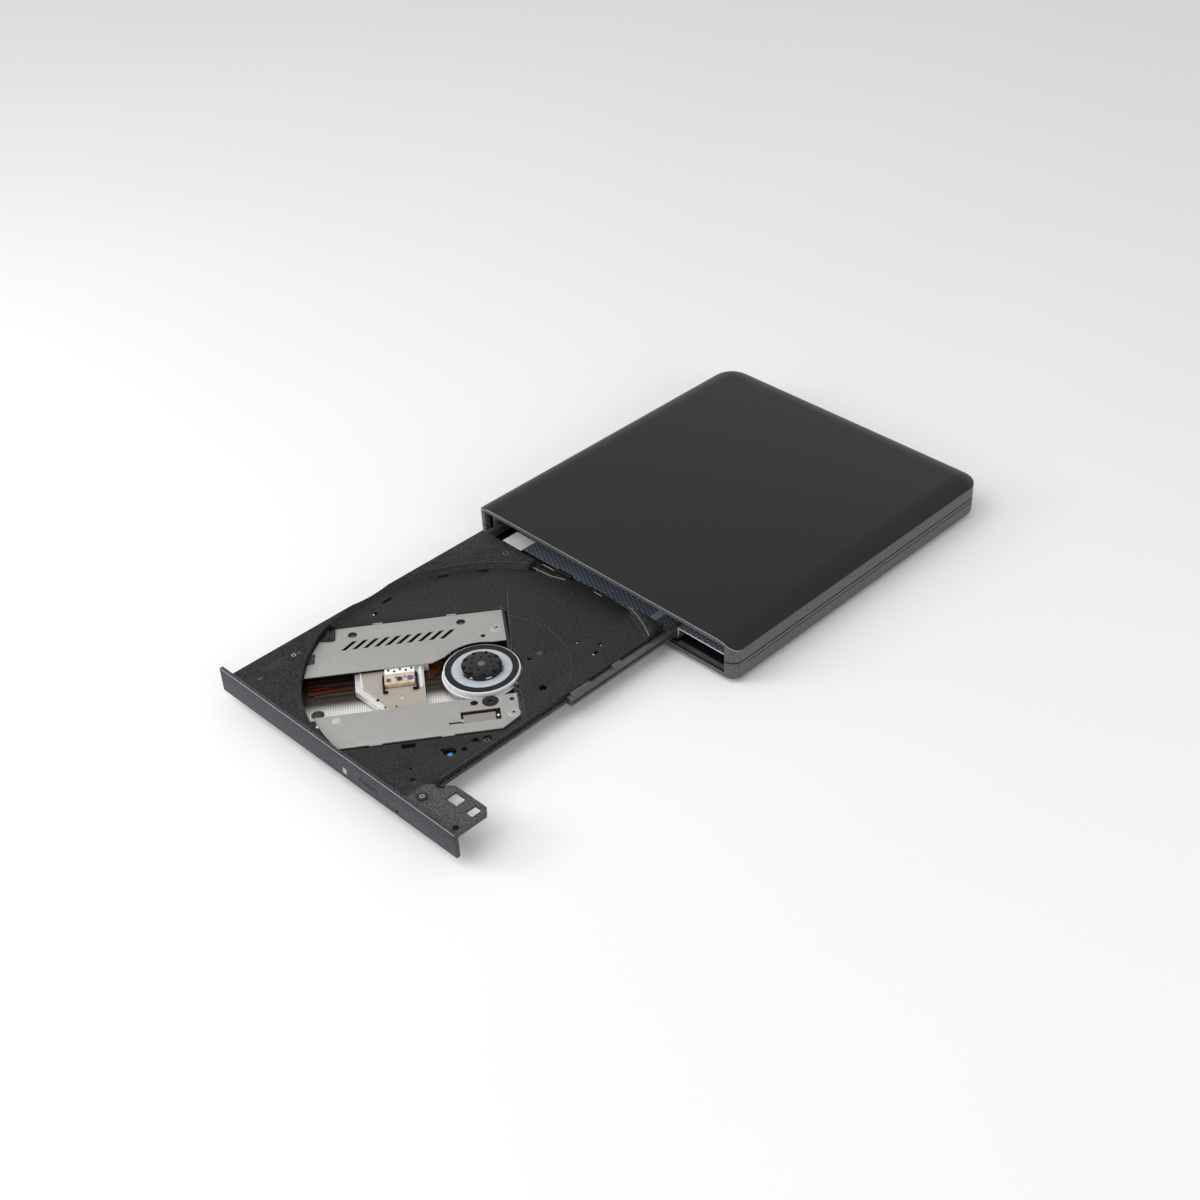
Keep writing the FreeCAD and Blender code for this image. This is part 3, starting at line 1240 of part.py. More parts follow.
def make_lock():
    pin = cylinder("lock_pin_bar", LOCK_PIN_X, inside_case("lock_pin_back"),
                   (SHELF, f"{EAR_CEILING} - lever_gap"), "lock_pin_radius")
    keep("lock_pin", pin)
    high = f"({EAR_CEILING} - lever_gap)"
    low = f"({high} - lever_thickness)"
    half = "lever_half_width"
    nose = "lock_pin_back + lock_pin_radius + hook_play"
    bar_left = f"({PIVOT_X} - {half})"
    bar_right = f"({LOCK_PIN_X} - lock_pin_radius - hook_depth)"
    tip = f"({LOCK_PIN_X} + lock_pin_radius - hook_play)"
    arm_end = f"({TRAY_RIGHT} - arm_reach)"
    corners = [(bar_left, behind_bezel(f"pivot_back + {half}")),
               (arm_end, behind_bezel(f"pivot_back + {half}")),
               (arm_end, behind_bezel(f"pivot_back - {half}")),
               (f"{PIVOT_X} + {half}", behind_bezel(f"pivot_back - {half}")),
               (bar_right, behind_bezel(f"{nose} - 3")),
               (bar_right, behind_bezel(nose)),
               (tip, behind_bezel(nose)),
               (tip, behind_bezel(f"{nose} + hook_depth")),
               (bar_left, behind_bezel(f"{nose} + hook_depth"))]
    hole = [(PIVOT_X, behind_bezel("pivot_back"), "pivot_radius + running_fit")]
    lever = prism("lever_plate", corners, (low, high), hole)
    peg = cylinder("lever_peg", f"{arm_end} + 1", behind_bezel("pivot_back"),
                   (f"{TRAY_CEILING} - 1.5", low), "0.6")
    keep("latch_lever", fuse("latch_lever_solid", lever, peg))
    keep("latch_pivot", screw_down("latch_pivot_screw", PIVOT_X, behind_bezel("pivot_back"), EAR_TOP,
                                   f"{low} - 0.2", "pivot_radius", "pivot_head_radius", "0.3"))
    body = box("solenoid_body", (f"{TRAY_RIGHT} - solenoid_reach", f"{TRAY_RIGHT} - tray_wall - 0.4"),
               (behind_bezel("pivot_back + solenoid_start"), behind_bezel("pivot_back + solenoid_end")),
               (PLATE_TOP, f"{TRAY_CEILING} - 0.2"))
    pin_run = (behind_bezel("pivot_back + 0.9"), behind_bezel("pivot_back + solenoid_start + 0.5"))
    plunger = lying_cylinder("solenoid_plunger", f"{arm_end} + 1", pin_run,
                             f"{TRAY_CEILING} - solenoid_pin_drop", "solenoid_pin_radius", "y")
    keep("lock_solenoid", fuse("lock_solenoid_solid", body, plunger))


def make_latch_spring():
    # A coil of a flat spring round the pivot, between the lever and the ear.
    ring_z = (f"{EAR_CEILING} - lever_gap + 0.02", f"{EAR_CEILING} - 0.02")
    outer = cylinder("spring_outside", PIVOT_X, behind_bezel("pivot_back"), ring_z, "pivot_radius + 0.9")
    inner = cylinder("spring_inside", PIVOT_X, behind_bezel("pivot_back"), ring_z, "pivot_radius + 0.3")
    keep("latch_spring", cut("latch_spring_solid", outer, inner))


def make_plunger():
    back = f"({DRIVE_BACK} - sheet)"
    front = f"({back} - housing_length)"
    level = f"({PAN_FLOOR} + plunger_height)"
    x = "(-plunger_x)"
    block = box("housing_block", (f"{x} - housing_width / 2", f"{x} + housing_width / 2"), (front, back),
                (f"{PAN_FLOOR} + film", f"{PAN_FLOOR} + 2 * plunger_height"))
    bore = lying_cylinder("housing_bore", x, (f"{front} - 1", f"{back} - 0.3"), level,
                          "plunger_radius + running_fit", "y")
    well = lying_cylinder("housing_well", x, (f"{front} + 0.8", f"{back} - 0.3"), level,
                          "spring_radius + 2 * spring_wire", "y")
    keep("plunger_housing", cut("plunger_housing_solid", block, bore, well))
    tip = f"({front} - plunger_head - 0.15 - plunger_travel)"
    head = lying_cylinder("plunger_head_disc", x, (tip, f"{tip} + plunger_head"), level,
                          "plunger_head_radius", "y")
    rod = lying_cylinder("plunger_rod", x, (f"{tip} + plunger_head", f"{back} - 0.5 - plunger_travel"), level,
                         "plunger_radius", "y")
    keep("eject_plunger", fuse("eject_plunger_solid", head, rod))
    helix = document.addObject("Part::Helix", "spring_path")
    bind(helix, "Pitch", "spring_pitch")
    bind(helix, "Height", "housing_length - 0.8 - 0.3 - 4 * spring_wire")
    bind(helix, "Radius", "spring_radius")
    wire = document.addObject("Part::Circle", "spring_section")
    bind(wire, "Radius", "spring_wire")
    wire.Placement = FreeCAD.Placement(FreeCAD.Vector(), FreeCAD.Rotation(FreeCAD.Vector(1, 0, 0), 90))
    bind(wire, "Placement.Base.x", "spring_radius")
    spring = document.addObject("Part::Sweep", "spring_coil")
    spring.Sections = [wire]
    spring.Spine = (helix, ["Edge1"])
    spring.Solid = True
    spring.Frenet = True
    spring.Placement = FreeCAD.Placement(FreeCAD.Vector(), FreeCAD.Rotation(FreeCAD.Vector(0, 0, 1),
                                                                            FreeCAD.Vector(0, 1, 0)))
    place(spring, x, f"{front} + 0.8 + 2 * spring_wire", level)
    keep("eject_spring", spring)


def make_flex_cable():
    # The flat cable's fixed run: along the pan's floor, up its rear wall and over to the main board.
    low = f"({PAN_FLOOR} + film)"
    back = f"({DRIVE_BACK} - sheet - 0.3)"
    wide = ("cable_left", "cable_right")
    upright = (f"{back} - cable_thickness", back)
    floor_run = box("flex_floor", wide, (f"{DRIVE_FRONT} + cable_front", back),
                    (low, f"{low} + cable_thickness"))
    riser = box("flex_riser", wide, upright, (low, MAIN_TOP))
    bridge = box("flex_bridge", ("cable_left", f"{PLUG_LEFT} + 0.8"), upright,
                 (f"{SHELF} + film + 0.1", f"{MAIN_TOP} + 1"))
    keep("tray_flex_cable", fuse("flex_solid", floor_run, riser, bridge))


def grommet_spots():
    return [("right_damper_across", "right_damper_along"), ("-left_damper_across", "-inner_damper_along"),
            ("-left_damper_across", "-outer_damper_along")]


def cover_screw_spots():
    return [("-left_screw_across", "left_screw_along"), ("right_screw_across", "right_screw_along")]


def make_traverse_frame():
    z = (FRAME_LOW, FRAME_TOP)
    top = COVER_LOW
    base = traverse_outline("frame_base", "0", z)
    wall = cut("frame_walls", traverse_outline("frame_wall_outside", "0", (FRAME_LOW, top)),
               traverse_outline("frame_wall_inside", "-frame_wall", (f"{FRAME_LOW} - 1", f"{top} + 1")))
    rod_z = (FRAME_LOW, f"{ROD_LEVEL} + rod_radius + 0.4")
    outer_run = (f"-{ROD_OUTER_END} - 1", f"-{ROD_OUTER_END} - 1 + holder_length")
    inner_run = ("-rod_inner_end - holder_length + 1", "-rod_inner_end + 1.5")
    left_holder = ("-channel_left - 2", "-left_rod + holder_half")
    screw_holder_start = f"-{SCREW_END} - screw_holder_length"
    holders = [track_box("left_outer_holder", left_holder, outer_run, rod_z),
               track_box("left_inner_holder", left_holder, inner_run, rod_z),
               track_box("right_outer_holder", ("right_rod - holder_half", "channel_right + 1"), outer_run,
                         rod_z),
               track_box("right_outer_arm", ("right_rod + rod_radius + 1.4", "channel_right + 1"),
                         (f"-{ROD_OUTER_END} - 1", screw_holder_start), rod_z),
               track_box("right_inner_holder", ("right_rod - 1.6", "right_rod + holder_half"), inner_run,
                         rod_z),
               track_box("screw_holder", ("screw_track - 2", "channel_right + 2"),
                         (screw_holder_start, f"-{SCREW_END}"), rod_z)]
    bosses = [track_cylinder(f"cover_boss_{i}", across, along, (FRAME_LOW, top), "cover_boss_radius")
              for i, (across, along) in enumerate(cover_screw_spots())]
    channel = track_box("channel", ("-channel_left", "channel_right"), ("-frame_radius - 6", "-channel_end"),
                        (f"{FRAME_LOW} - 1", f"{top} + 1"))
    blank = cut("frame_blank", fuse("frame_plate", base, wall), channel)
    trimmed = common("frame_trimmed", fuse("frame_whole", blank, *holders, *bosses),
                     traverse_outline("frame_limit", "0", (f"{FRAME_LOW} - 1", f"{top} + 1")))
    cutters = [track_box("motor_bay", motor_run()[0], motor_run()[1], (f"{FRAME_LOW} - 1", f"{top} + 1")),
               track_rod("left_rod_hole", "-left_rod", rod_run(), ROD_LEVEL, "rod_radius"),
               track_rod("right_rod_hole", "right_rod", rod_run(), ROD_LEVEL, "rod_radius"),
               track_rod("screw_hole", "screw_track", (f"-{SCREW_END} - 1.2", f"-{SCREW_END} + 1"), ROD_LEVEL,
                         "spindle_radius + running_fit"),
               track_cylinder("motor_well", "0", "0", (FRAME_TOP, f"{top} + 1"), "motor_plate_radius + 0.3")]
    for i, (across, along) in enumerate(grommet_spots()):
        cutters.append(track_cylinder(f"grommet_hole_{i}", across, along, (f"{FRAME_LOW} - 1", f"{top} + 1"),
                                      "grommet_radius"))
    for i, (across, along) in enumerate(cover_screw_spots()):
        cutters.append(track_cylinder(f"boss_drill_{i}", across, along, (FRAME_TOP, f"{top} + 1"),
                                      "cover_screw_radius"))
    keep("traverse_frame", cut("traverse_frame_solid", trimmed, *cutters))


def rod_run():
    return f"-{ROD_OUTER_END}", "-rod_inner_end"


def motor_run():
    across = ("screw_track - motor_width / 2", "screw_track + motor_width / 2")
    along = ("-motor_front", "-motor_front + motor_length")
    return across, along


def make_grommets():
    rings = []
    for i, (across, along) in enumerate(grommet_spots()):
        top = f"{COVER_HIGH} - 0.1" if i == 0 else f"{COVER_LOW} - 0.1"
        outside = track_cylinder(f"grommet_{i}", across, along, (PLATE_TOP, top), "grommet_radius")
        bore = track_cylinder(f"grommet_bore_{i}", across, along, (f"{PLATE_TOP} - 1", f"{COVER_HIGH} + 1"),
                              "grommet_bore")
        rings.append(cut(f"grommet_ring_{i}", outside, bore))
    keep("damper_grommets", group("grommet_group", *rings))


def cover_slots(body):
    # The slanted slots of the left plate, made once and repeated along the track.
    sketch = new_sketch(body, "slot_sketch", "XY_Plane", COVER_HIGH)
    shift = "slot_width / 2"
    near = "-slot_near"
    far = "-slot_far"
    start = "-slot_start"
    end = "-slot_start + slot_lean"
    draw_polygon(sketch, [(near, f"{start} - {shift}"), (near, f"{start} + {shift}"),
                          (far, f"{end} + {shift}"), (far, f"{end} - {shift}")])
    pocket = body.newObject("PartDesign::Pocket", "slot_pocket")
    pocket.Profile = sketch
    bind(pocket, "Length", "2 * cover_thickness")
    sketch.Visibility = False
    document.recompute()
    pattern = body.newObject("PartDesign::LinearPattern", "slot_row")
    pattern.Originals = [pocket]
    pattern.Direction = (sketch, ["V_Axis"])
    bind(pattern, "Length", "slot_pitch * (slot_count - 1)")
    bind(pattern, "Occurrences", "slot_count")
    body.Tip = pattern


def make_left_cover():
    waist = "-left_cover_waist"
    corners = [("-left_cover_outer", "-frame_radius - 1"), ("-left_cover_inner", "-frame_radius - 1"),
               ("-left_cover_inner", "-left_cover_waist - 2"), (waist, "-3"),
               (waist, "left_cover_end"), ("-left_cover_outer", "left_cover_end")]
    holes = [(across, along, "damper_hole") for across, along in grommet_spots()[1:]]
    holes += [("-left_peg_across", "left_peg_along", "peg_hole"),
              (*cover_screw_spots()[0], "cover_screw_radius")]
    body = prism("left_cover_plate", corners, (COVER_LOW, COVER_HIGH), holes, on_track=True)
    document.recompute()
    cover_slots(body)
    z = (f"{COVER_LOW} - 1", f"{COVER_HIGH} + 1")
    limit = cylinder("left_cover_limit", SPINDLE_X, SPINDLE_Y, z, "frame_radius + cover_edge")
    round_cut = cylinder("left_cover_round", SPINDLE_X, SPINDLE_Y, z,
                         "turntable_radius + turntable_clearance")
    corner = track_box("left_cover_corner", ("-left_cover_outer - 1", "-left_corner_across"),
                       ("-frame_radius - 2", "left_corner_length - frame_radius"), z)
    port_start = "left_port_inset - frame_radius"
    port = track_box("left_cover_port", ("-left_port_far", "-left_port_near"),
                     (port_start, f"{port_start} + left_port_length"), z)
    shaped = common("left_cover_shaped", body, limit, between_sides("left_cover_sides", "0", z))
    keep("left_cover_plate", cut("left_cover_solid", shaped, round_cut, corner, port))


def make_right_cover():
    corners = [("right_cover_inner", f"-{RIGHT_COVER_RADIUS}"),
               ("right_cover_outer", f"-{RIGHT_COVER_RADIUS} + 4"),
               ("right_cover_outer", "right_cover_end - right_cover_slope"),
               ("right_cover_cut", "right_cover_end"),
               ("right_cover_inner", "right_cover_end")]
    holes = [("right_peg_across", "right_peg_along", "peg_hole"),
             (*cover_screw_spots()[1], "cover_screw_radius"),
             ("right_damper_across", "-half_moon_along", "half_moon_radius")]
    body = prism("right_cover_plate", corners, (COVER_LOW, COVER_HIGH), holes, on_track=True)
    z = (f"{COVER_LOW} - 1", f"{COVER_HIGH} + 1")
    limit = cylinder("right_cover_limit", SPINDLE_X, SPINDLE_Y, z, RIGHT_COVER_RADIUS)
    round_cut = cylinder("right_cover_round", SPINDLE_X, SPINDLE_Y, z,
                         "turntable_radius + turntable_clearance")
    across, along = motor_run()
    window = track_box("motor_window", (f"{across[0]} + 0.4", f"{across[1]} - 0.4"),
                       (f"{along[0]} - 0.8", f"{along[1]} - 0.7"), z)
    slit = track_box("right_cover_slit", ("slit_near", "slit_far"), ("-slit_start", "-slit_end"), z)
    damper = track_cylinder("right_cover_damper", *grommet_spots()[0], z, "grommet_radius + 0.1")
    shaped = common("right_cover_shaped", body, limit, between_sides("right_cover_sides", "0", z))
    keep("right_cover_plate", cut("right_cover_solid", shaped, round_cut, window, slit, damper))


def make_cover_screws():
    screws = [screw_down(f"track_screw_{i}", *track_place(across, along), COVER_HIGH, f"{FRAME_TOP} + 0.5",
                         "cover_screw_radius", "cover_screw_head", "cover_screw_rise")
              for i, (across, along) in enumerate(cover_screw_spots())]
    keep("plate_screws", group("plate_screw_group", *screws))


def make_rods_and_motor():
    rods = [track_rod("left_rod_bar", "-left_rod", rod_run(), ROD_LEVEL, "rod_radius"),
            track_rod("right_rod_bar", "right_rod", rod_run(), ROD_LEVEL, "rod_radius")]
    keep("guide_rods", group("rod_group", *rods))
    across, along = motor_run()
    keep("stepper_motor", track_box("stepper_block", across, along,
                                    (f"{FRAME_LOW} - 0.2", f"{COVER_LOW} - 0.1")))
    thread = track_rod("screw_thread", "screw_track", (f"-{SCREW_END} + 0.1", "-motor_front - 0.1"),
                       ROD_LEVEL, "lead_screw_radius")
    journal = track_rod("screw_journal", "screw_track", (f"-{SCREW_END} - 1", f"-{SCREW_END} + 0.1"),
                        ROD_LEVEL, "spindle_radius")
    keep("lead_screw", fuse("lead_screw_solid", thread, journal))


def make_spindle():
    x = SPINDLE_X
    y = SPINDLE_Y
    seat = TURNTABLE_TOP
    plate_top = f"({FRAME_TOP} + motor_plate)"
    plate_z = (FRAME_TOP, plate_top)
    plate = common("motor_plate_round", cylinder("motor_plate_disc", x, y, plate_z, "motor_plate_radius"),
                   track_box("motor_plate_limit", ("-motor_plate_radius", "motor_plate_radius"),
                             ("-motor_plate_front", "motor_plate_radius"), plate_z))
    stator = cylinder("stator", x, y, (plate_top, f"{plate_top} + 1.2"), "stator_radius")
    bush_room = cylinder("bush_room", x, y, (f"{FRAME_TOP} + 0.2", f"{plate_top} + 5"), "bearing_radius")
    keep("spindle_motor_base", cut("motor_base_solid", fuse("motor_base", plate, stator), bush_room))
    bush_top = f"({plate_top} + 2)"
    bush = cylinder("bush_outside", x, y, (f"{FRAME_TOP} + 0.2", bush_top), "bearing_radius")
    shaft_hole = cylinder("bush_bore", x, y, (f"{FRAME_TOP} + 0.4", f"{bush_top} + 1"),
                          "spindle_radius + running_fit")
    keep("spindle_bearing", cut("spindle_bearing_solid", bush, shaft_hole))
    hub_top = f"({seat} + hub_height)"
    shaft_z = (f"{FRAME_TOP} + 0.5", f"{hub_top} - 0.2")
    keep("spindle_shaft", cylinder("shaft_bar", x, y, shaft_z, "spindle_radius"))
    cup = cylinder("cup_outside", x, y, (f"{PLATE_TOP} + turntable_low", seat), "turntable_radius")
    cup_room = cylinder("cup_inside", x, y, (f"{PLATE_TOP} + turntable_low - 1", f"{seat} - turntable_wall"),
                        "turntable_radius - turntable_wall")
    cup_bore = cylinder("cup_bore", x, y, (f"{seat} - 2", f"{seat} + 1"), "spindle_radius")
    keep("turntable", cut("turntable_solid", cup, cup_room, cup_bore))
    ring = cylinder("seat_outside", x, y, (seat, f"{seat} + seat_height"), "seat_outer")
    ring_room = cylinder("seat_inside", x, y, (f"{seat} - 1", f"{seat} + 1"), "seat_inner")
    keep("disc_seat_ring", cut("disc_seat_solid", ring, ring_room))
    hub = cylinder("hub_outside", x, y, (seat, hub_top), "hub_radius")
    hub_bore = cylinder("hub_bore", x, y, (f"{seat} - 1", f"{hub_top} + 1"), "spindle_radius")
    claw_z = (f"{hub_top} - 0.3 - claw_height", f"{hub_top} - 0.3")
    slots = []
    for i in range(3):
        turn = 30 + 120 * i
        slots.append(radial_box(f"claw_slot_{i}", turn, ("claw_root - claw_travel - 0.3", "hub_radius + 2"),
                                "claw_width + 2 * claw_play", (f"{claw_z[0]} - claw_play", f"{hub_top} + 1")))
        keep(f"chuck_claw_{i + 1}", radial_box(f"claw_{i}", turn, ("claw_root", "claw_reach"), "claw_width",
                                               claw_z))
    keep("disc_hub", cut("disc_hub_solid", hub, hub_bore, *slots))


def radial_box(name, turn, reach, width, z):
    solid = document.addObject("Part::Box", name)
    bind(solid, "Length", f"({reach[1]}) - ({reach[0]})")
    bind(solid, "Width", width)
    bind(solid, "Height", f"({z[1]}) - ({z[0]})")
    solid.Placement = FreeCAD.Placement(FreeCAD.Vector(), FreeCAD.Rotation(FreeCAD.Vector(0, 0, 1), turn))
    sine = f"{math.sin(math.radians(turn)):.6f}"
    cosine = f"{math.cos(math.radians(turn)):.6f}"
    place(solid, f"{SPINDLE_X} + ({reach[0]}) * {cosine} + ({width}) / 2 * {sine}",
          f"{SPINDLE_Y} + ({reach[0]}) * {sine} - ({width}) / 2 * {cosine}", z[0])
    return solid


def make_pickup():
    left = "-pickup_left"
    right = "pickup_right"
    arm_left = "(-left_rod - rod_radius - 0.9)"
    arm_right = "(right_rod + rod_radius + 0.9)"
    left_arm = ("-lens_track - 1.5", "-pickup_inner + 2")
    right_arm = ("-lens_track + 0.5", "-pickup_inner - 1")
    outline = [(left, "-pickup_outer"), ("pickup_nose", "-pickup_outer"),
               (right, "-pickup_outer + pickup_slope"), (right, right_arm[0]), (arm_right, right_arm[0]),
               (arm_right, right_arm[1]), (right, right_arm[1]), (right, "-pickup_inner"),
               (left, "-pickup_inner"), (left, left_arm[1]), (arm_left, left_arm[1]),
               (arm_left, left_arm[0]), (left, left_arm[0])]
    base = prism("pickup_base", outline, (PICKUP_LOW, PICKUP_TOP), on_track=True)
    sleeve_z = (PICKUP_LOW, f"{ROD_LEVEL} + rod_radius + 0.3")
    left_sleeve = track_box("left_sleeve", (arm_left, left), left_arm, sleeve_z)
    right_sleeve = track_box("right_sleeve", (right, arm_right), right_arm, sleeve_z)
    well = track_box("lens_well", ("-lens_well_left", "lens_well_right"),
                     ("-lens_track - lens_well_half", "-lens_track + lens_well_half"),
                     (f"{PICKUP_LOW} + 0.8", f"{COVER_HIGH} + 2"))
    beyond = ("-pickup_outer - 5", "-pickup_inner + 5")
    bores = [track_rod("left_sleeve_bore", "-left_rod", beyond, ROD_LEVEL, "rod_radius + running_fit"),
             track_rod("right_sleeve_bore", "right_rod", beyond, ROD_LEVEL, "rod_radius + running_fit")]
    whole = fuse("pickup_whole", base, left_sleeve, right_sleeve)
    keep("pickup_body", cut("pickup_body_solid", whole, well, *bores))
    make_pickup_cover()
    holder_z = (f"{PICKUP_LOW} + 1.5", f"{PICKUP_LOW} + 1.5 + holder_height")
    holder_run = ("-lens_track - lens_holder_half", "-lens_track + lens_holder_half")
    keep("lens_holder", track_box("lens_holder_block", ("-lens_holder_left", "lens_holder_right"), holder_run,
                                  holder_z))
    lenses = [track_cylinder(f"lens_disc_{i}", "-lens_across", f"-lens_track + {i} * lens_spacing",
                             (holder_z[1], f"{holder_z[1]} + lens_rise"), "lens_radius") for i in range(2)]
    keep("objective_lenses", group("lens_group", *lenses))
    keep("rack_follower", track_box("rack_block", (arm_right, "screw_track - lead_screw_radius - 0.1"),
                                    ("-pickup_inner - 5", "-pickup_inner - 1"),
                                    (f"{ROD_LEVEL} - 0.8", f"{ROD_LEVEL} + 0.8")))


def make_pickup_cover():
    # A plate that goes round two sides of the lens well and follows the body's slanted outer end.
    left = "-pickup_left + pickup_plate_side"
    right = "pickup_right - pickup_plate_side"
    outer = "-pickup_outer + pickup_plate_inset"
    inner = "-pickup_inner - 0.2"
    well_right = "lens_well_right + 0.3"
    well_outer = "-lens_track - lens_well_half - 0.3"
    corners = [(left, outer), ("pickup_nose - 0.2", outer), (right, f"{outer} + pickup_slope - 1"),
               (right, inner), (well_right, inner), (well_right, well_outer), (left, well_outer)]
    hole = [("pickup_hole_across", "-lens_track", "1")]
    plate_z = (PICKUP_TOP, f"{PICKUP_TOP} + pickup_plate")
    keep("pickup_cover", prism("pickup_plate", corners, plate_z, hole, on_track=True))


def make_pickup_flex():
    keep("pickup_flex", track_box("flex_strip", ("-pickup_left + 0.8", "-0.2"),
                                  ("-frame_radius + 3", "-channel_end"),
                                  (PLATE_TOP, f"{PLATE_TOP} + cable_thickness")))


def make_everything():
    for make in (make_top_shell, make_bottom_shell, make_feet, make_case_screws, make_bridge_board,
                 make_drive_connectors, make_chips, make_main_board, make_base_pan, make_drive_cover,
                 make_floor_film, make_left_rail, make_right_rail, make_tray, make_bezel, make_tray_board,
                 make_bottom_plate, make_lock, make_latch_spring, make_plunger, make_flex_cable,
                 make_traverse_frame, make_grommets, make_left_cover, make_right_cover, make_cover_screws,
                 make_rods_and_motor, make_spindle, make_pickup, make_pickup_flex):
        make()
    document.recompute()


def check_document():
    for thing in document.Objects:
        if {"Invalid", "Error"} & set(thing.State):
            raise RuntimeError(f"{thing.Name} failed: {thing.State}")
    for label, thing in nodes.items():
        if thing.Shape.isNull() or not thing.Shape.isValid() or not thing.Shape.Solids:
            raise RuntimeError(f"{label} has no valid solid")


def write_parts():
    os.makedirs("parts", exist_ok=True)
    for label, thing in nodes.items():
        thing.Shape.exportStep(f"parts/{label}.step")
        print(label, len(thing.Shape.Solids), round(thing.Shape.Volume, 1))


make_everything()
check_document()
write_parts()
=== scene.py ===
import math

import bmesh
import bpy
from mathutils import Matrix, Vector


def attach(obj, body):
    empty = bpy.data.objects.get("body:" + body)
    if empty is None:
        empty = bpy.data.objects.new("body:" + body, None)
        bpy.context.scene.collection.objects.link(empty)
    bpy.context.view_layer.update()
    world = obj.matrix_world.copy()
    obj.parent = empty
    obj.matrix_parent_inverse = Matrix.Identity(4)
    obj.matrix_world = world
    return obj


# Sizes in millimetres, in the CAD's frame.
MM = 0.001
BEZEL_FRONT = -141.5
CASE_FRONT = -12.5
CASE_BACK = 141.5
CASE_SIDE = 70.0
FRONT_CORNER = 4.5
BACK_CORNER = 9.0
SPINDLE = (2.8, -75.2)
TRACK_ANGLE = math.radians(36.87)
# How far the track's middle line lies from the frame's origin, measured across the track.
SPINDLE_ACROSS = SPINDLE[0] * math.cos(TRACK_ANGLE) - SPINDLE[1] * math.sin(TRACK_ANGLE)
PAN_FLOOR = 5.1
SHELF = 9.7
SEAM = 9.65
GROOVE_HEIGHT = 7.73
CREASE = 15.0
TRAY_FLOOR = 10.0
BELOW_COVER = 9.74
COVER_TOP = 10.2
RIM_TOP = 12.3
EAR_TOP = 12.8
HUB_TOP = 12.95
HUB_TEETH = 9
BEZEL_TOP = 14.8
CASE_TOP = 18.4
ROLL_WIDTH = 9.5
ROLL_DROP = 3.4
DISC_WELL = 63.6
EAR_START = 35.5

# The photo's camera: pixels of the photo, degrees, and metres from the frame's origin.
PHOTO_WIDTH = 1200
FOCAL_LENGTH = 1813.3
VIEW_MIDDLE = (721.3, 581.5)
CAMERA_AZIMUTH = 42.286
CAMERA_ELEVATION = 36.744
CAMERA_ROLL = -0.2966
CAMERA_PLACE = (0.410801, -0.394022, 0.430542)

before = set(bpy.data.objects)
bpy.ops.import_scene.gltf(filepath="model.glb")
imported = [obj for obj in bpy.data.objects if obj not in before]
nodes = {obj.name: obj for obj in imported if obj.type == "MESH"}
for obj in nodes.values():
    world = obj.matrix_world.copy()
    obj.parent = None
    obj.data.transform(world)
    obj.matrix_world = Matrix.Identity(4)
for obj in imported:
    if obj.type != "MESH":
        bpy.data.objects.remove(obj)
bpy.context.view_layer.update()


# Places

def tray_point(x, back, z):
    return Vector((x, BEZEL_FRONT + back, z)) * MM


def case_point(x, depth, z):
    return Vector((x, CASE_FRONT + depth, z)) * MM


def track_point(across, along, z):
    x = SPINDLE[0] + across * math.cos(TRACK_ANGLE) + along * math.sin(TRACK_ANGLE)
    y = SPINDLE[1] - across * math.sin(TRACK_ANGLE) + along * math.cos(TRACK_ANGLE)
    return Vector((x, y, z)) * MM


def circle_points(radius, count, start=0.0, end=360.0):
    closed = end - start >= 360
    steps = count if closed else count - 1
    angles = [math.radians(start + (end - start) * i / steps) for i in range(count)]
    return [(radius * math.cos(a), radius * math.sin(a)) for a in angles]


def spindle_point(reach, angle, z):
    """A point at a distance from the spindle, turned about it by an angle in radians."""
    return Vector((SPINDLE[0] + reach * math.cos(angle), SPINDLE[1] + reach * math.sin(angle), z)) * MM


def spindle_arc(radius, start, end, z, count=60):
    """Points on a circle about the spindle."""
    return [Vector((SPINDLE[0] + x, SPINDLE[1] + y, z)) * MM
            for x, y in circle_points(radius, count, start, end)]


# Material helpers

def new_material(name):
    material = bpy.data.materials.new(name)
    material.use_nodes = True
    tree = material.node_tree
    shader = tree.nodes["Principled BSDF"]
    return material, tree, shader


def add_node(tree, kind, **settings):
    node = tree.nodes.new(kind)
    for key, setting in settings.items():
        if key in node.inputs:
            node.inputs[key].default_value = setting
        else:
            setattr(node, key, setting)
    return node


def math_node(tree, operation, first, second=None, third=None):
    """One arithmetic node; each value is a number or another node's output."""
    node = add_node(tree, "ShaderNodeMath", operation=operation)
    for socket, value in zip(node.inputs, (first, second, third)):
        if value is None:
            continue
        if isinstance(value, (int, float)):
            socket.default_value = value
        else:
            tree.links.new(value, socket)
    return node.outputs[0]


def object_coordinates(tree, scale=(1, 1, 1), turn=0.0):
    source = add_node(tree, "ShaderNodeTexCoord")
    mapping = add_node(tree, "ShaderNodeMapping")
    mapping.inputs["Scale"].default_value = scale
    mapping.inputs["Rotation"].default_value = (0, 0, turn)
    tree.links.new(source.outputs["Object"], mapping.inputs["Vector"])
    return mapping.outputs["Vector"]


def noise(tree, place, scale, detail=2.0):
    node = add_node(tree, "ShaderNodeTexNoise", Scale=scale, Detail=detail)
    tree.links.new(place, node.inputs["Vector"])
    return node.outputs["Fac"]


def ramp(tree, factor, dark, light, low=0.35, high=0.65):
    node = add_node(tree, "ShaderNodeValToRGB")
    node.color_ramp.elements[0].position = low
    node.color_ramp.elements[1].position = high
    node.color_ramp.elements[0].color = (*dark, 1)
    node.color_ramp.elements[1].color = (*light, 1)
    tree.links.new(factor, node.inputs["Fac"])
    return node.outputs["Color"]


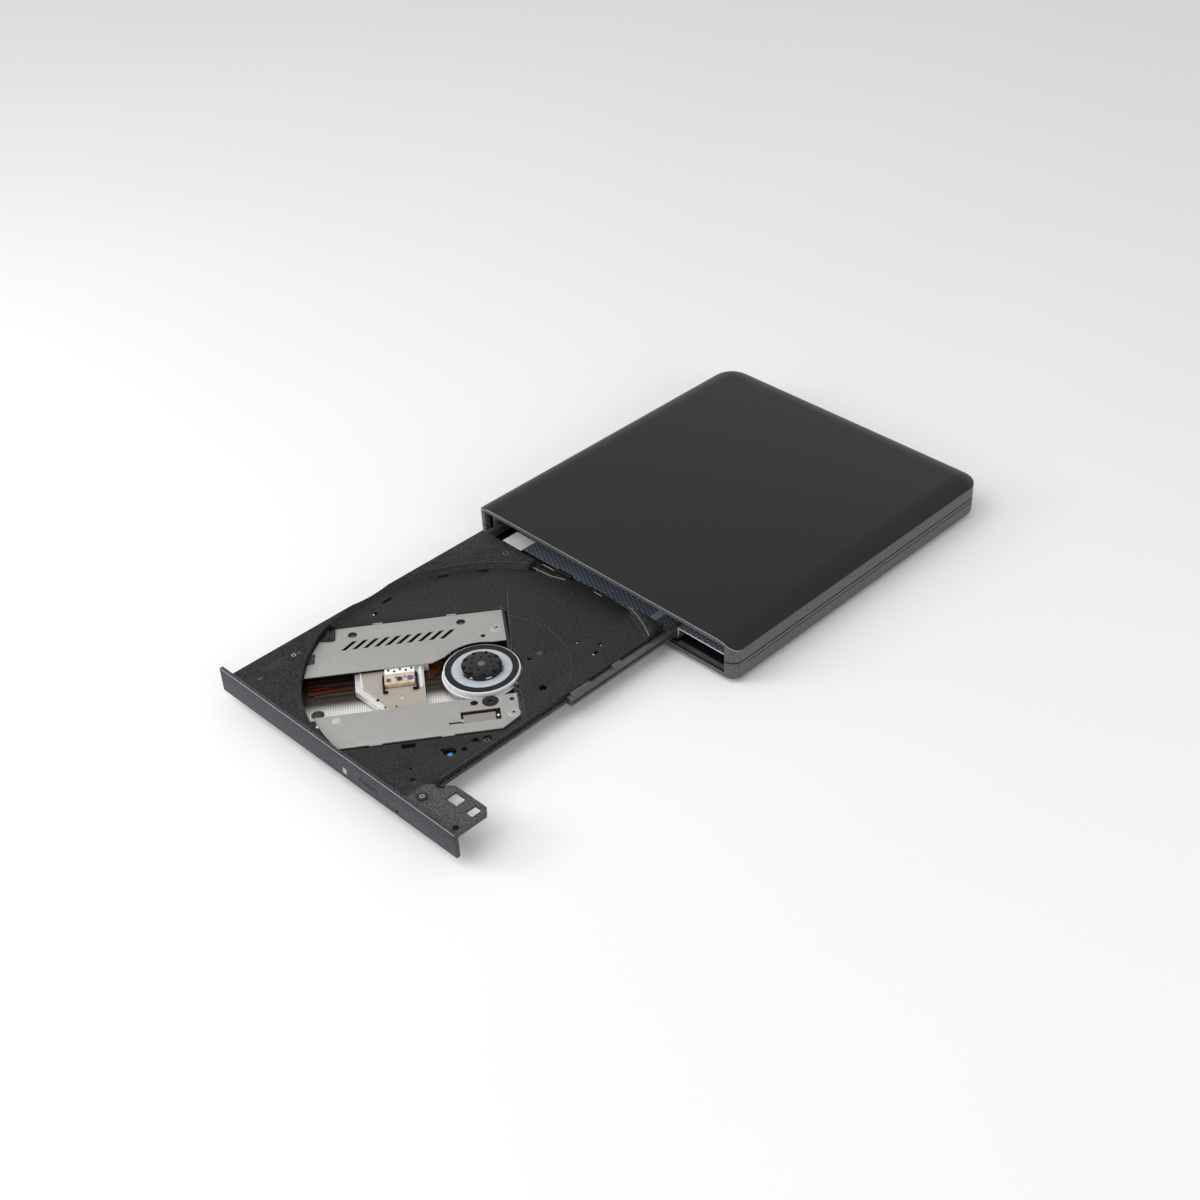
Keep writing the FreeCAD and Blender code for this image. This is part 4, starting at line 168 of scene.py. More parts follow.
def mix(tree, factor, first, second):
    node = add_node(tree, "ShaderNodeMix", data_type="RGBA")
    tree.links.new(factor, node.inputs["Factor"])
    tree.links.new(first, node.inputs[6])
    tree.links.new(second, node.inputs[7])
    return node.outputs[2]


def tint(tree, shader, factor, dark, light, low=0.35, high=0.65):
    tree.links.new(ramp(tree, factor, dark, light, low, high), shader.inputs["Base Color"])


def bump(tree, shader, height, strength, distance):
    node = add_node(tree, "ShaderNodeBump", Strength=strength, Distance=distance)
    tree.links.new(height, node.inputs["Height"])
    tree.links.new(node.outputs["Normal"], shader.inputs["Normal"])


def shades(colour, spread):
    return tuple(c * (1 - spread) for c in colour), tuple(min(1, c * (1 + spread)) for c in colour)


def facing_up(tree, low, high):
    """0 on walls and undersides, 1 on surfaces that face up."""
    geometry = add_node(tree, "ShaderNodeNewGeometry")
    split = add_node(tree, "ShaderNodeSeparateXYZ")
    tree.links.new(geometry.outputs["True Normal"], split.inputs["Vector"])
    level = add_node(tree, "ShaderNodeMapRange")
    level.inputs["From Min"].default_value = low
    level.inputs["From Max"].default_value = high
    tree.links.new(split.outputs["Z"], level.inputs["Value"])
    return level.outputs["Result"]


# Materials

def plastic(name, colour, roughness, grain=2500.0, depth=0.25, variation=0.12, specular=0.4):
    """Moulded plastic: a fine grain in the surface and a slight cloudiness in the colour."""
    material, tree, shader = new_material(name)
    place = object_coordinates(tree)
    tint(tree, shader, noise(tree, place, grain * 0.35, 3.0), *shades(colour, variation))
    bump(tree, shader, noise(tree, place, grain), depth, 0.00005)
    shader.inputs["Roughness"].default_value = roughness
    shader.inputs["Specular IOR Level"].default_value = specular
    return material


def case_plastic():
    """Satin black on the top; the walls round it are lighter and greyer, partly from a coarser spark-eroded
    finish and partly as painted sheen.
    """
    material, tree, shader = new_material("case_black")
    place = object_coordinates(tree)
    cloud = noise(tree, place, 700, 3.0)
    top = ramp(tree, cloud, *shades((0.0105, 0.0103, 0.01), 0.06))
    speckle = noise(tree, place, 1300, 2.0)
    # The walls' lighter grey is partly their coarser finish and partly painted sheen of the white floor
    # seen at a grazing angle.
    wall_finish_and_sheen = ramp(tree, speckle, *shades((0.095, 0.094, 0.092), 0.3))
    colour = mix(tree, facing_up(tree, 0.25, 0.8), wall_finish_and_sheen, top)
    tree.links.new(colour, shader.inputs["Base Color"])
    bump(tree, shader, noise(tree, place, 3000), 0.12, 0.00004)
    shader.inputs["Roughness"].default_value = 0.46
    shader.inputs["Specular IOR Level"].default_value = 0.2
    return material


def grained_tray():
    """Near-black moulding with a sparkling fine grain; the ear beside the floor is a greyer satin."""
    material, tree, shader = new_material("tray_black")
    place = object_coordinates(tree)
    speckle = noise(tree, place, 1500, 2.0)
    floor = ramp(tree, speckle, (0.003, 0.003, 0.0035), (0.03, 0.03, 0.032), 0.4, 0.68)
    ear = ramp(tree, speckle, (0.03, 0.03, 0.03), (0.11, 0.11, 0.11), 0.35, 0.7)
    split = add_node(tree, "ShaderNodeSeparateXYZ")
    tree.links.new(place, split.inputs["Vector"])
    on_ear = add_node(tree, "ShaderNodeMapRange")
    on_ear.inputs["From Min"].default_value = EAR_START * MM
    on_ear.inputs["From Max"].default_value = (EAR_START + 2.0) * MM
    tree.links.new(split.outputs["X"], on_ear.inputs["Value"])
    tree.links.new(mix(tree, on_ear.outputs["Result"], floor, ear), shader.inputs["Base Color"])
    bump(tree, shader, noise(tree, place, 1100, 2.0), 0.6, 0.00008)
    shader.inputs["Roughness"].default_value = 0.55
    shader.inputs["Specular IOR Level"].default_value = 0.22
    return material


def steel(name, colour, roughness, turn=0.0, streak=0.08, metallic=0.85):
    """Rolled sheet or ground bar: fine lines along one direction."""
    material, tree, shader = new_material(name)
    lines = noise(tree, object_coordinates(tree, (250, 5200, 2500), turn), 1.0, 3.0)
    tint(tree, shader, lines, *shades(colour, streak))
    bump(tree, shader, lines, 0.12, 0.00003)
    shader.inputs["Metallic"].default_value = metallic
    shader.inputs["Roughness"].default_value = roughness
    return material


def dotted_film():
    """Blue-grey insulating film printed with a fine hexagonal pattern of pale dots."""
    material, tree, shader = new_material("dotted_film")
    source = add_node(tree, "ShaderNodeTexCoord")
    split = add_node(tree, "ShaderNodeSeparateXYZ")
    tree.links.new(source.outputs["Object"], split.inputs["Vector"])
    pitch = 1.5 * MM
    total = None
    for degrees in (0, 60, 120):
        angle = math.radians(degrees)
        x_part = math_node(tree, "MULTIPLY", split.outputs["X"], math.cos(angle) * 2 * math.pi / pitch)
        y_part = math_node(tree, "MULTIPLY", split.outputs["Y"], math.sin(angle) * 2 * math.pi / pitch)
        wave = math_node(tree, "COSINE", math_node(tree, "ADD", x_part, y_part))
        total = wave if total is None else math_node(tree, "ADD", total, wave)
    height = math_node(tree, "MULTIPLY_ADD", total, 0.2, 0.4)
    tint(tree, shader, height, (0.08, 0.1, 0.125), (0.34, 0.41, 0.47), 0.45, 0.95)
    bump(tree, shader, height, 0.1, 0.00003)
    shader.inputs["Roughness"].default_value = 0.4
    return material


def hatched_foil():
    """The tray's bottom plate: bright foil pressed with a diagonal hatch, darker and browner towards the
    outer cover plate, and plain dull sheet underneath."""
    material, tree, shader = new_material("hatched_foil")
    place = object_coordinates(tree, (1 / MM, 1 / MM, 1 / MM), TRACK_ANGLE)
    split = add_node(tree, "ShaderNodeSeparateXYZ")
    tree.links.new(place, split.inputs["Vector"])
    across = math_node(tree, "SUBTRACT", split.outputs["X"], SPINDLE_ACROSS)
    sum_part = math_node(tree, "ADD", split.outputs["X"], split.outputs["Y"])
    hatch_pitch = 1.7
    turns = 2 * math.pi / hatch_pitch
    first = math_node(tree, "SINE", math_node(tree, "MULTIPLY", sum_part, turns))
    skew = math_node(tree, "SUBTRACT", split.outputs["X"], split.outputs["Y"])
    second = math_node(tree, "SINE", math_node(tree, "MULTIPLY", skew, turns))
    hatch = math_node(tree, "MULTIPLY_ADD", math_node(tree, "MULTIPLY", first, second), 0.5, 0.5)
    bright = ramp(tree, hatch, (0.5, 0.47, 0.43), (0.86, 0.85, 0.83), 0.2, 0.7)
    brown = ramp(tree, hatch, (0.003, 0.001, 0.0005), (0.04, 0.013, 0.004), 0.3, 0.9)
    fade = add_node(tree, "ShaderNodeMapRange", interpolation_type="SMOOTHSTEP")
    fade.inputs["From Min"].default_value = 2.5
    fade.inputs["From Max"].default_value = 9.0
    tree.links.new(across, fade.inputs["Value"])
    hatched = mix(tree, fade.outputs["Result"], brown, bright)
    sheet_colour = ramp(tree, noise(tree, place, 0.4), (0.3, 0.3, 0.3), (0.34, 0.34, 0.33))
    colour = mix(tree, facing_up(tree, 0.0, 0.5), sheet_colour, hatched)
    tree.links.new(colour, shader.inputs["Base Color"])
    bump(tree, shader, hatch, 0.3, 0.00006)
    shader.inputs["Metallic"].default_value = 0.35
    shader.inputs["Roughness"].default_value = 0.38
    return material


def amber_film(name, dark, light, scale=900.0, roughness=0.25):
    """Polyimide flat cable with darker conductors along it."""
    material, tree, shader = new_material(name)
    place = object_coordinates(tree, (1, 1, 1), TRACK_ANGLE)
    tracks = add_node(tree, "ShaderNodeTexWave", bands_direction="X", Scale=scale, Distortion=1.5)
    tree.links.new(place, tracks.inputs["Vector"])
    tint(tree, shader, tracks.outputs["Fac"], dark, light)
    shader.inputs["Roughness"].default_value = roughness
    shader.inputs["Specular IOR Level"].default_value = 0.3
    return material


def coated_lens():
    """Small coated lens with a violet sheen."""
    material, tree, shader = new_material("coated_lens")
    facing = add_node(tree, "ShaderNodeLayerWeight", Blend=0.4)
    tint(tree, shader, facing.outputs["Facing"], (0.03, 0.025, 0.1), (0.12, 0.13, 0.4), 0.0, 0.8)
    shader.inputs["Roughness"].default_value = 0.08
    shader.inputs["Coat Weight"].default_value = 0.5
    return material


def circuit_board():
    """Green solder mask over copper tracks."""
    material, tree, shader = new_material("green_board")
    cells = add_node(tree, "ShaderNodeTexVoronoi", Scale=700.0, distance="MANHATTAN")
    tree.links.new(object_coordinates(tree), cells.inputs["Vector"])
    tint(tree, shader, cells.outputs["Distance"], (0.02, 0.12, 0.06), (0.01, 0.07, 0.035), 0.3, 0.5)
    shader.inputs["Roughness"].default_value = 0.35
    return material


def make_plastics():
    return {
        "shell": case_plastic(),
        "tray": grained_tray(),
        "bezel": plastic("bezel_black", (0.03, 0.032, 0.039), 0.5, 4500, 0.4, 0.8, 0.35),
        "rail": plastic("rail_grey", (0.06, 0.061, 0.066), 0.35, 1400, 0.3, 0.3, 0.45),
        "dark": plastic("dark_parts", (0.008, 0.008, 0.009), 0.42, 1800, 0.25, 0.2, 0.3),
        "hub": plastic("hub_black", (0.007, 0.007, 0.0073), 0.45, 1500, 0.15, 0.2, 0.3),
        "gilt": plastic("shaft_coating", (0.12, 0.13, 0.1), 0.4, 900, 0.05, 0.2, 0.4),
        "black": plastic("deep_black", (0.002, 0.002, 0.002), 0.6, 1800, 0.1, 0.2, 0.1),
        "rubber": plastic("rubber_black", (0.016, 0.0155, 0.015), 0.75, 2500, 0.3, 0.15, 0.2),
        "white": plastic("white_metal", (0.74, 0.75, 0.77), 0.35, 900, 0.05, 0.04, 0.5),
        "pale_ring": plastic("pale_ring", (0.46, 0.51, 0.54), 0.3, 1200, 0.1, 0.06, 0.4),
        "ivory": plastic("ivory_plastic", (0.56, 0.47, 0.34), 0.4, 1500, 0.2, 0.2, 0.3),
        "label": plastic("paper_label", (0.95, 0.96, 0.98), 0.6, 1500, 0.1, 0.01, 0.4),
        "grey_label": plastic("grey_label", (0.3, 0.35, 0.39), 0.6, 1500, 0.1, 0.05, 0.3),
        "lamp": plastic("lamp_window", (0.45, 0.46, 0.47), 0.35, 900, 0.05, 0.1, 0.5),
        # Light grey beads for edges, ridges and rims: painted highlight where they catch the light,
        # brighter in the first, dimmer in the second.
        "edge": plastic("painted_edge_highlight", (0.4, 0.4, 0.4), 0.35, 1500, 0.1, 0.1, 0.5),
        "soft_edge": plastic("painted_edge_sheen", (0.075, 0.075, 0.08), 0.4, 1500, 0.1, 0.2, 0.4),
        "blue": plastic("blue_part", (0.03, 0.25, 0.7), 0.4, 900, 0.1, 0.3),
        "green": plastic("green_mark", (0.12, 0.22, 0.08), 0.3, 900, 0.1, 0.4),
        "brown": plastic("brown_mark", (0.09, 0.035, 0.012), 0.3, 900, 0.1, 0.3),
    }


def make_metals():
    return {
        "plates": steel("plate_steel", (0.34, 0.335, 0.32), 0.5, TRACK_ANGLE, 0.06, 0.3),
        "zinc": steel("zinc_sheet", (0.42, 0.42, 0.42), 0.42, 0, 0.07),
        # Near-black sheet for the drive cover: painted shade where the cover shows deep in the case's
        # mouth, though such covers are bare zinc.
        "painted_shade_sheet": steel("painted_shade_sheet", (0.03, 0.03, 0.032), 0.5, 0, 0.1, 0.5),
        "screw": steel("screw_steel", (0.5, 0.48, 0.45), 0.3, 0, 0.1, 0.7),
        "dark_screw": steel("dark_screw", (0.1, 0.1, 0.105), 0.35, 0, 0.1, 0.7),
        "bright": steel("ground_steel", (0.6, 0.6, 0.61), 0.22, TRACK_ANGLE, 0.04),
        "pickup": steel("cast_pickup", (0.6, 0.59, 0.57), 0.38, 0, 0.06, 0.5),
        "pickup_plate": steel("pickup_plate", (0.4, 0.355, 0.3), 0.42, TRACK_ANGLE, 0.07, 0.35),
        "stepper": steel("stepper_can", (0.27, 0.25, 0.23), 0.42, TRACK_ANGLE, 0.05, 0.4),
        "bronze": steel("bronze", (0.45, 0.28, 0.14), 0.4),
    }


def make_materials():
    looks = make_plastics()
    looks.update(make_metals())
    looks["film"] = dotted_film()
    looks["foil"] = hatched_foil()
    looks["amber"] = amber_film("amber_film", (0.03, 0.009, 0.004), (0.12, 0.04, 0.012))
    looks["smoke"] = amber_film("smoked_film", (0.006, 0.003, 0.002), (0.03, 0.018, 0.012), 120.0, 0.4)
    looks["orange"] = amber_film("orange_film", (0.02, 0.003, 0.001), (0.08, 0.012, 0.003), 160.0)
    looks["lens"] = coated_lens()
    looks["board"] = circuit_board()
    return looks


NODE_LOOKS = {
    "top_shell": "shell", "bottom_shell": "shell", "rubber_feet": "rubber", "shell_screws": "dark_screw",
    "drive_screws": "dark_screw", "bridge_board": "board", "circuit_chips": "dark", "usb_socket": "zinc",
    "sata_plug": "dark", "drive_connector": "dark", "base_pan": "zinc", "drive_cover": "painted_shade_sheet",
    "cover_screws": "dark_screw", "floor_film": "film", "main_board": "board", "left_guide_rail": "dark",
    "right_guide_rail": "dark", "lock_pin": "bright", "plunger_housing": "dark", "eject_spring": "bright",
    "tray_flex_cable": "amber", "tray": "tray", "bezel": "bezel", "tray_bottom_plate": "foil",
    "tray_screws": "dark_screw", "tray_board": "board", "eject_switch": "dark", "status_lamp": "lamp",
    "lock_solenoid": "zinc", "latch_pivot": "dark", "latch_spring": "bright", "traverse_frame": "dark",
    "damper_grommets": "rubber", "left_cover_plate": "plates", "right_cover_plate": "plates",
    "plate_screws": "screw", "guide_rods": "bright", "stepper_motor": "stepper",
    "spindle_motor_base": "zinc", "spindle_bearing": "bronze", "pickup_flex": "smoke",
    "left_slide_rail": "rail", "right_slide_rail": "rail", "eject_plunger": "ivory", "latch_lever": "dark",
    "eject_button": "bezel", "lead_screw": "bright", "turntable": "white", "disc_seat_ring": "rubber",
    "disc_hub": "hub", "spindle_shaft": "bright", "chuck_claw_1": "dark", "chuck_claw_2": "dark",
    "chuck_claw_3": "dark", "pickup_body": "pickup", "pickup_cover": "pickup_plate",
    "rack_follower": "ivory", "lens_holder": "ivory", "objective_lenses": "lens",
}

EDGE_WIDTHS = {
    "top_shell": 0.12, "bottom_shell": 0.12, "bezel": 0.2, "tray": 0.12, "left_cover_plate": 0.08,
    "right_cover_plate": 0.08, "turntable": 0.2, "disc_hub": 0.2, "left_slide_rail": 0.2,
    "right_slide_rail": 0.2, "pickup_body": 0.15, "lens_holder": 0.15, "eject_button": 0.1,
}


def dress_nodes(looks):
    for name, look in NODE_LOOKS.items():
        piece = nodes[name]
        piece.data.materials.clear()
        piece.data.materials.append(looks[look])
        soften(piece, EDGE_WIDTHS.get(name))


def soften(piece, width=None):
    """Small rounded edges that catch the light, with smooth round faces and crisp flat ones."""
    for polygon in piece.data.polygons:
        polygon.use_smooth = True
    weld = piece.modifiers.new("weld", "WELD")
    weld.merge_threshold = 0.000001
    if width:
        bevel = piece.modifiers.new("bevel", "BEVEL")
        bevel.width = width * MM
        bevel.segments = 2
        bevel.limit_method = "ANGLE"
        bevel.angle_limit = math.radians(40)
        bevel.use_clamp_overlap = True
    split = piece.modifiers.new("split", "EDGE_SPLIT")
    split.split_angle = math.radians(35)


# Piece builders

def finish_piece(name, shape, body, material, width=None):
    """Turn a bmesh into a piece that rides on a body."""
    bmesh.ops.recalc_face_normals(shape, faces=shape.faces)
    mesh = bpy.data.meshes.new(name)
    shape.to_mesh(mesh)
    shape.free()
    mesh.materials.append(material)
    piece = bpy.data.objects.new(name, mesh)
    bpy.context.scene.collection.objects.link(piece)
    soften(piece, width)
    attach(piece, body)
    return piece


def stack(name, rows, body, material, width=None):
    """A closed skin through rows of points that all have the same count, with flat ends."""
    shape = bmesh.new()
    loops = [[shape.verts.new(point) for point in row] for row in rows]
    shape.faces.new(loops[0])
    shape.faces.new(list(reversed(loops[-1])))
    count = len(rows[0])
    for first, second in zip(loops, loops[1:]):
        for i in range(count):
            j = (i + 1) % count
            shape.faces.new((first[i], second[i], second[j], first[j]))
    return finish_piece(name, shape, body, material, width)


def prism(name, points, height, body, material, width=None):
    """A solid whose top follows the points, which are in metres, and which is height millimetres deep."""
    low = [point - Vector((0, 0, height * MM)) for point in points]
    return stack(name, [points, low], body, material, width)


def lathe(name, centre, profile, body, material, count=64):
    """A ring or disc: the profile's (radius, z) points in millimetres turned about an upright axis."""
    shape = bmesh.new()
    loops = []
    for radius, z in profile:
        if radius <= 0:
            loops.append([shape.verts.new((centre.x, centre.y, z * MM))])
        else:
            loops.append([shape.verts.new((centre.x + x * MM, centre.y + y * MM, z * MM))
                          for x, y in circle_points(radius, count)])
    for first, second in zip(loops, loops[1:]):
        for i in range(count):
            j = (i + 1) % count
            corners = [first[i % len(first)], first[j % len(first)], second[j % len(second)],
                       second[i % len(second)]]
            shape.faces.new(list(dict.fromkeys(corners)))
    return finish_piece(name, shape, body, material)


def ring(name, centre, inner, outer, z, height, body, material, count=48):
    """A low ring with a rounded top, closed all round."""
    middle = (inner + outer) / 2
    profile = [(inner, z), (middle, z + height), (outer, z), (outer, z - 0.1), (inner, z - 0.1), (inner, z)]
    return lathe(name, centre, profile, body, material, count)


def hole_shade_disc(name, centre, radius, z, material, count):
    """A thin black disc just proud of a face of the tray: painted shade over a hole that shows black."""
    profile = [(0, z + 0.03), (radius, z + 0.03), (radius, z - 0.1), (0, z - 0.1)]
    lathe(name, centre, profile, "tray_unit", material, count)


def thread(name, points, radius, body, material):
    """A thin round bead along points, such as an edge or a moulded line."""
    curve = bpy.data.curves.new(name, "CURVE")
    curve.dimensions = "3D"
    curve.bevel_depth = radius * MM
    curve.bevel_resolution = 2
    curve.use_fill_caps = True
    spline = curve.splines.new("POLY")
    spline.points.add(len(points) - 1)
    for knot, point in zip(spline.points, points):
        knot.co = (*point, 1)
    curve.materials.append(material)
    piece = bpy.data.objects.new(name, curve)
    bpy.context.scene.collection.objects.link(piece)
    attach(piece, body)
    return piece


def track_shape(z, corners):
    return [track_point(across, along, z) for across, along in corners]


def cross_recess(name, centre, z, reach, turn, body, material):
    """The dark cross in a screw's head: a flat piece whose dark colour is painted shade of the cross
    recess.
    """
    half = 0.26
    outline = []
    for quarter in range(4):
        angle = math.radians(turn + 90 * quarter)
        for along, side in ((half, -half), (reach, -half), (reach, half)):
            x = along * math.cos(angle) - side * math.sin(angle)
            y = along * math.sin(angle) + side * math.cos(angle)
            outline.append(Vector((centre.x + x * MM, centre.y + y * MM, z * MM)))
    return prism(name, outline, 0.05, body, material)


def tray_shape(z, corners):
    return [tray_point(x, back, z) for x, back in corners]


def rectangle(first, second):
    """Corners of a rectangle from its lowest and highest values along its two directions."""
    return [(first[0], second[0]), (first[1], second[0]), (first[1], second[1]), (first[0], second[1])]


# Details of the case

def roll_profile(reach):
    """The case's top from one side to the other, as (x, z) points: flat with a rolled edge each side."""
    radius = (ROLL_WIDTH ** 2 + ROLL_DROP ** 2) / (2 * ROLL_DROP)
    level = CASE_TOP - radius
    half = math.asin(ROLL_WIDTH / radius)
    start = CASE_SIDE - ROLL_WIDTH
    right = [(start + radius * math.sin(half * i / 12), level + radius * math.cos(half * i / 12))
             for i in range(13)]
    right = [(x, z) for x, z in right if x <= reach]
    return [(-x, z) for x, z in reversed(right)] + right


def case_wall_line(inset, z):
    """Points round the case's side and back walls, from one end of the mouth to the other."""
    corners = ((CASE_FRONT + FRONT_CORNER, FRONT_CORNER, -90), (CASE_BACK - BACK_CORNER, BACK_CORNER, 0))
    right = []
    for middle_y, radius, start in corners:
        right += [(CASE_SIDE - radius + x, middle_y + y)
                  for x, y in circle_points(radius - inset, 8, start, start + 90)]
    left = [(-x, y) for x, y in reversed(right)]
    return [Vector((x, y, z)) * MM for x, y in right + left]


def mouth_point(x, z):
    """A point on the mouth's upper edge, which follows the case's rounded front corners."""
    beyond = max(0.0, abs(x) - (CASE_SIDE - FRONT_CORNER))
    depth = FRONT_CORNER - math.sqrt(FRONT_CORNER ** 2 - beyond ** 2)
    return case_point(x, depth + 0.02, z - 0.12)


def case_details(looks):
    mouth = [mouth_point(x, z) for x, z in roll_profile(CASE_SIDE)]
    # A light bead along the mouth's upper edge: painted highlight.
    thread("mouth_edge", mouth, 0.12, "case", looks["edge"])
    thread("seam_gap", case_wall_line(0.32, SEAM), 0.26, "case", looks["black"])
    # A black bead in the groove round the case below the seam: painted shade in the groove.
    thread("groove_shade_line", case_wall_line(0.22, GROOVE_HEIGHT), 0.18, "case", looks["black"])
    # A dim light bead along the crease above the walls: painted highlight.
    thread("crease", case_wall_line(0.04, CREASE), 0.08, "case", looks["soft_edge"])
    # A white bead along the front edge of the zinc pan's shelf: painted highlight.
    thread("shelf_edge", [case_point(39.2, 2.95, 7.0), case_point(39.2, 2.95, SHELF),
                          case_point(62.5, 2.95, SHELF)], 0.13, "case", looks["label"])
    # A grey ridge on the mouth's lower lip: painted highlight on the shell's black.
    lip = [case_point(x, depth, 5.2) for x, depth in rectangle((40.5, 65.2), (1.6, 2.7))]
    prism("lip_ridge", lip, 1.0, "case", looks["rail"], 0.2)
    label = [case_point(x, depth, PAN_FLOOR + 0.04) for x, depth in rectangle((-57.3, -46.5), (1.7, 9.7))]
    prism("floor_label", label, 0.05, "case", looks["label"])
    shade = [case_point(x, depth, PAN_FLOOR + 0.04) for x, depth in rectangle((-61.5, -57.4), (1.7, 14.0))]
    prism("film_margin", shade, 0.05, "case", looks["black"])
    small = [case_point(x, depth, PAN_FLOOR + 0.06) for x, depth in rectangle((22.0, 25.3), (4.2, 11.0))]
    prism("small_label", small, 0.05, "case", looks["grey_label"])


# Details of the bezel and the ear

def bezel_details(looks):
    # A light bead along the bezel's top front edge: painted highlight.
    front = [Vector((x, BEZEL_FRONT + 0.06, BEZEL_TOP - 0.07)) * MM for x in (-63.9, 63.9)]
    thread("bezel_edge", front, 0.1, "tray_unit", looks["edge"])
    button = [Vector((x, BEZEL_FRONT + 0.03, 9.26)) * MM for x in (14.2, 23.6)]
    thread("button_gap", button, 0.14, "tray_unit", looks["black"])
    # Dim light beads down the lamp's ribs: painted highlight.
    for name, x, z in (("lamp_rib_1", 5.9, 8.9), ("lamp_rib_2", 6.5, 8.9)):
        rib = [Vector((x, BEZEL_FRONT - 0.02, z)) * MM, Vector((x, BEZEL_FRONT - 0.02, 6.7)) * MM]
        thread(name, rib, 0.05, "tray_unit", looks["soft_edge"])


def ear_details(looks):
    pivot = tray_point(40.5, 6.3, 0)
    ring("pivot_ring", pivot, 0.5, 0.9, EAR_TOP + 0.4, 0.06, "tray_unit", looks["grey_label"], 32)
    lathe("pivot_head", pivot, [(0, EAR_TOP + 0.4), (1.4, EAR_TOP + 0.4), (1.6, EAR_TOP + 0.25),
                                (1.6, EAR_TOP - 0.1), (0, EAR_TOP - 0.1)], "tray_unit", looks["hub"], 40)
    ring("pivot_boss", pivot, 2.9, 3.6, EAR_TOP, 0.16, "tray_unit", looks["tray"])
    # A black disc over the through hole at the ear's corner: painted shade, which also closes the hole.
    hole_shade_disc("corner_hole", tray_point(59.8, 4.1, 0), 1.15, EAR_TOP, looks["black"], 32)
    # A dim light bead round the ear's rim: painted highlight.
    rim = [(44.5, 17.1), (60.1, 17.1), (61.6, 15.6), (61.6, 2.0)]
    thread("ear_rim", tray_shape(EAR_TOP - 0.02, rim), 0.1, "tray_unit", looks["soft_edge"])


# Details of the tray's floor

def well_edges(looks):
    # Light beads along the well's edge, the rear arcs and the tray's rear edges: painted highlight.
    thread("well_edge", spindle_arc(DISC_WELL, 121, 156, RIM_TOP), 0.09, "tray_unit", looks["soft_edge"])
    thread("rear_arc_high", spindle_arc(62.6, 57.5, 75, RIM_TOP), 0.08, "tray_unit", looks["edge"])
    low_arc = spindle_arc(61.4, 57, 72, TRAY_FLOOR + 0.3)
    thread("rear_arc_low", low_arc, 0.1, "tray_unit", looks["soft_edge"])
    tongue = [(-29.4, 121.8), (-20.6, 122.4), (-14.1, 124.6)]
    thread("rear_edge_left", tray_shape(TRAY_FLOOR + 0.1, tongue), 0.1, "tray_unit", looks["edge"])
    step = [(-26.4, 124.4), (-20.0, 124.6)]
    thread("rear_edge_step", tray_shape(TRAY_FLOOR + 1.6, step), 0.1, "tray_unit", looks["edge"])
    middle = [(-0.3, 126.6), (4.0, 126.7)]
    thread("rear_edge_middle", tray_shape(TRAY_FLOOR, middle), 0.1, "tray_unit", looks["edge"])
    clip = [(-20.0, 125.2), (-12.6, 126.0), (-12.6, 127.6), (-20.0, 127.2)]
    prism("rear_clip", tray_shape(TRAY_FLOOR + 1.2, clip), 1.4, "tray_unit", looks["dark"], 0.15)


def floor_lines(looks):
    thread("floor_arc", spindle_arc(32.6, 8, 118, TRAY_FLOOR), 0.05, "tray_unit", looks["rail"])
    # Dim light beads along the window's ridges, the side line and the front ribs: painted highlight.
    window_line = [(-45.5, 13.6), (-9.0, 11.7)]
    thread("window_ridge", track_shape(TRAY_FLOOR, window_line), 0.13, "tray_unit", looks["soft_edge"])
    corner = [(-36.5, 9.9), (-35.0, 10.9), (-33.6, 12.2)]
    thread("window_corner", track_shape(TRAY_FLOOR, corner), 0.13, "tray_unit", looks["soft_edge"])
    other = [(12.8, 11.0), (14.0, 12.2), (15.4, 12.9), (28.0, 12.6)]
    thread("window_ridge_right", track_shape(TRAY_FLOOR, other), 0.13, "tray_unit", looks["soft_edge"])
    side = [(35.5, 18.0), (35.4, 30.5), (35.5, 31.2), (35.4, 64.0)]
    thread("side_line", tray_shape(TRAY_FLOOR, side), 0.08, "tray_unit", looks["soft_edge"])
    for i, x in enumerate((-54.4, -53.1, -51.8)):
        run = [(x, 11.5 + i), (x + 0.6, 21.0 - i)]
        thread(f"front_rib_{i}", tray_shape(RIM_TOP, run), 0.1, "tray_unit", looks["soft_edge"])
    # Black beads in the two slots by the well: painted shade inside the slots.
    slots = (((-44.3, 105.6), (-41.2, 109.0)), ((-33.6, 115.1), (-30.2, 117.9)))
    for i, slot in enumerate(slots):
        thread(f"well_slot_shade_{i}", tray_shape(TRAY_FLOOR + 0.02, slot), 0.16, "tray_unit", looks["black"])


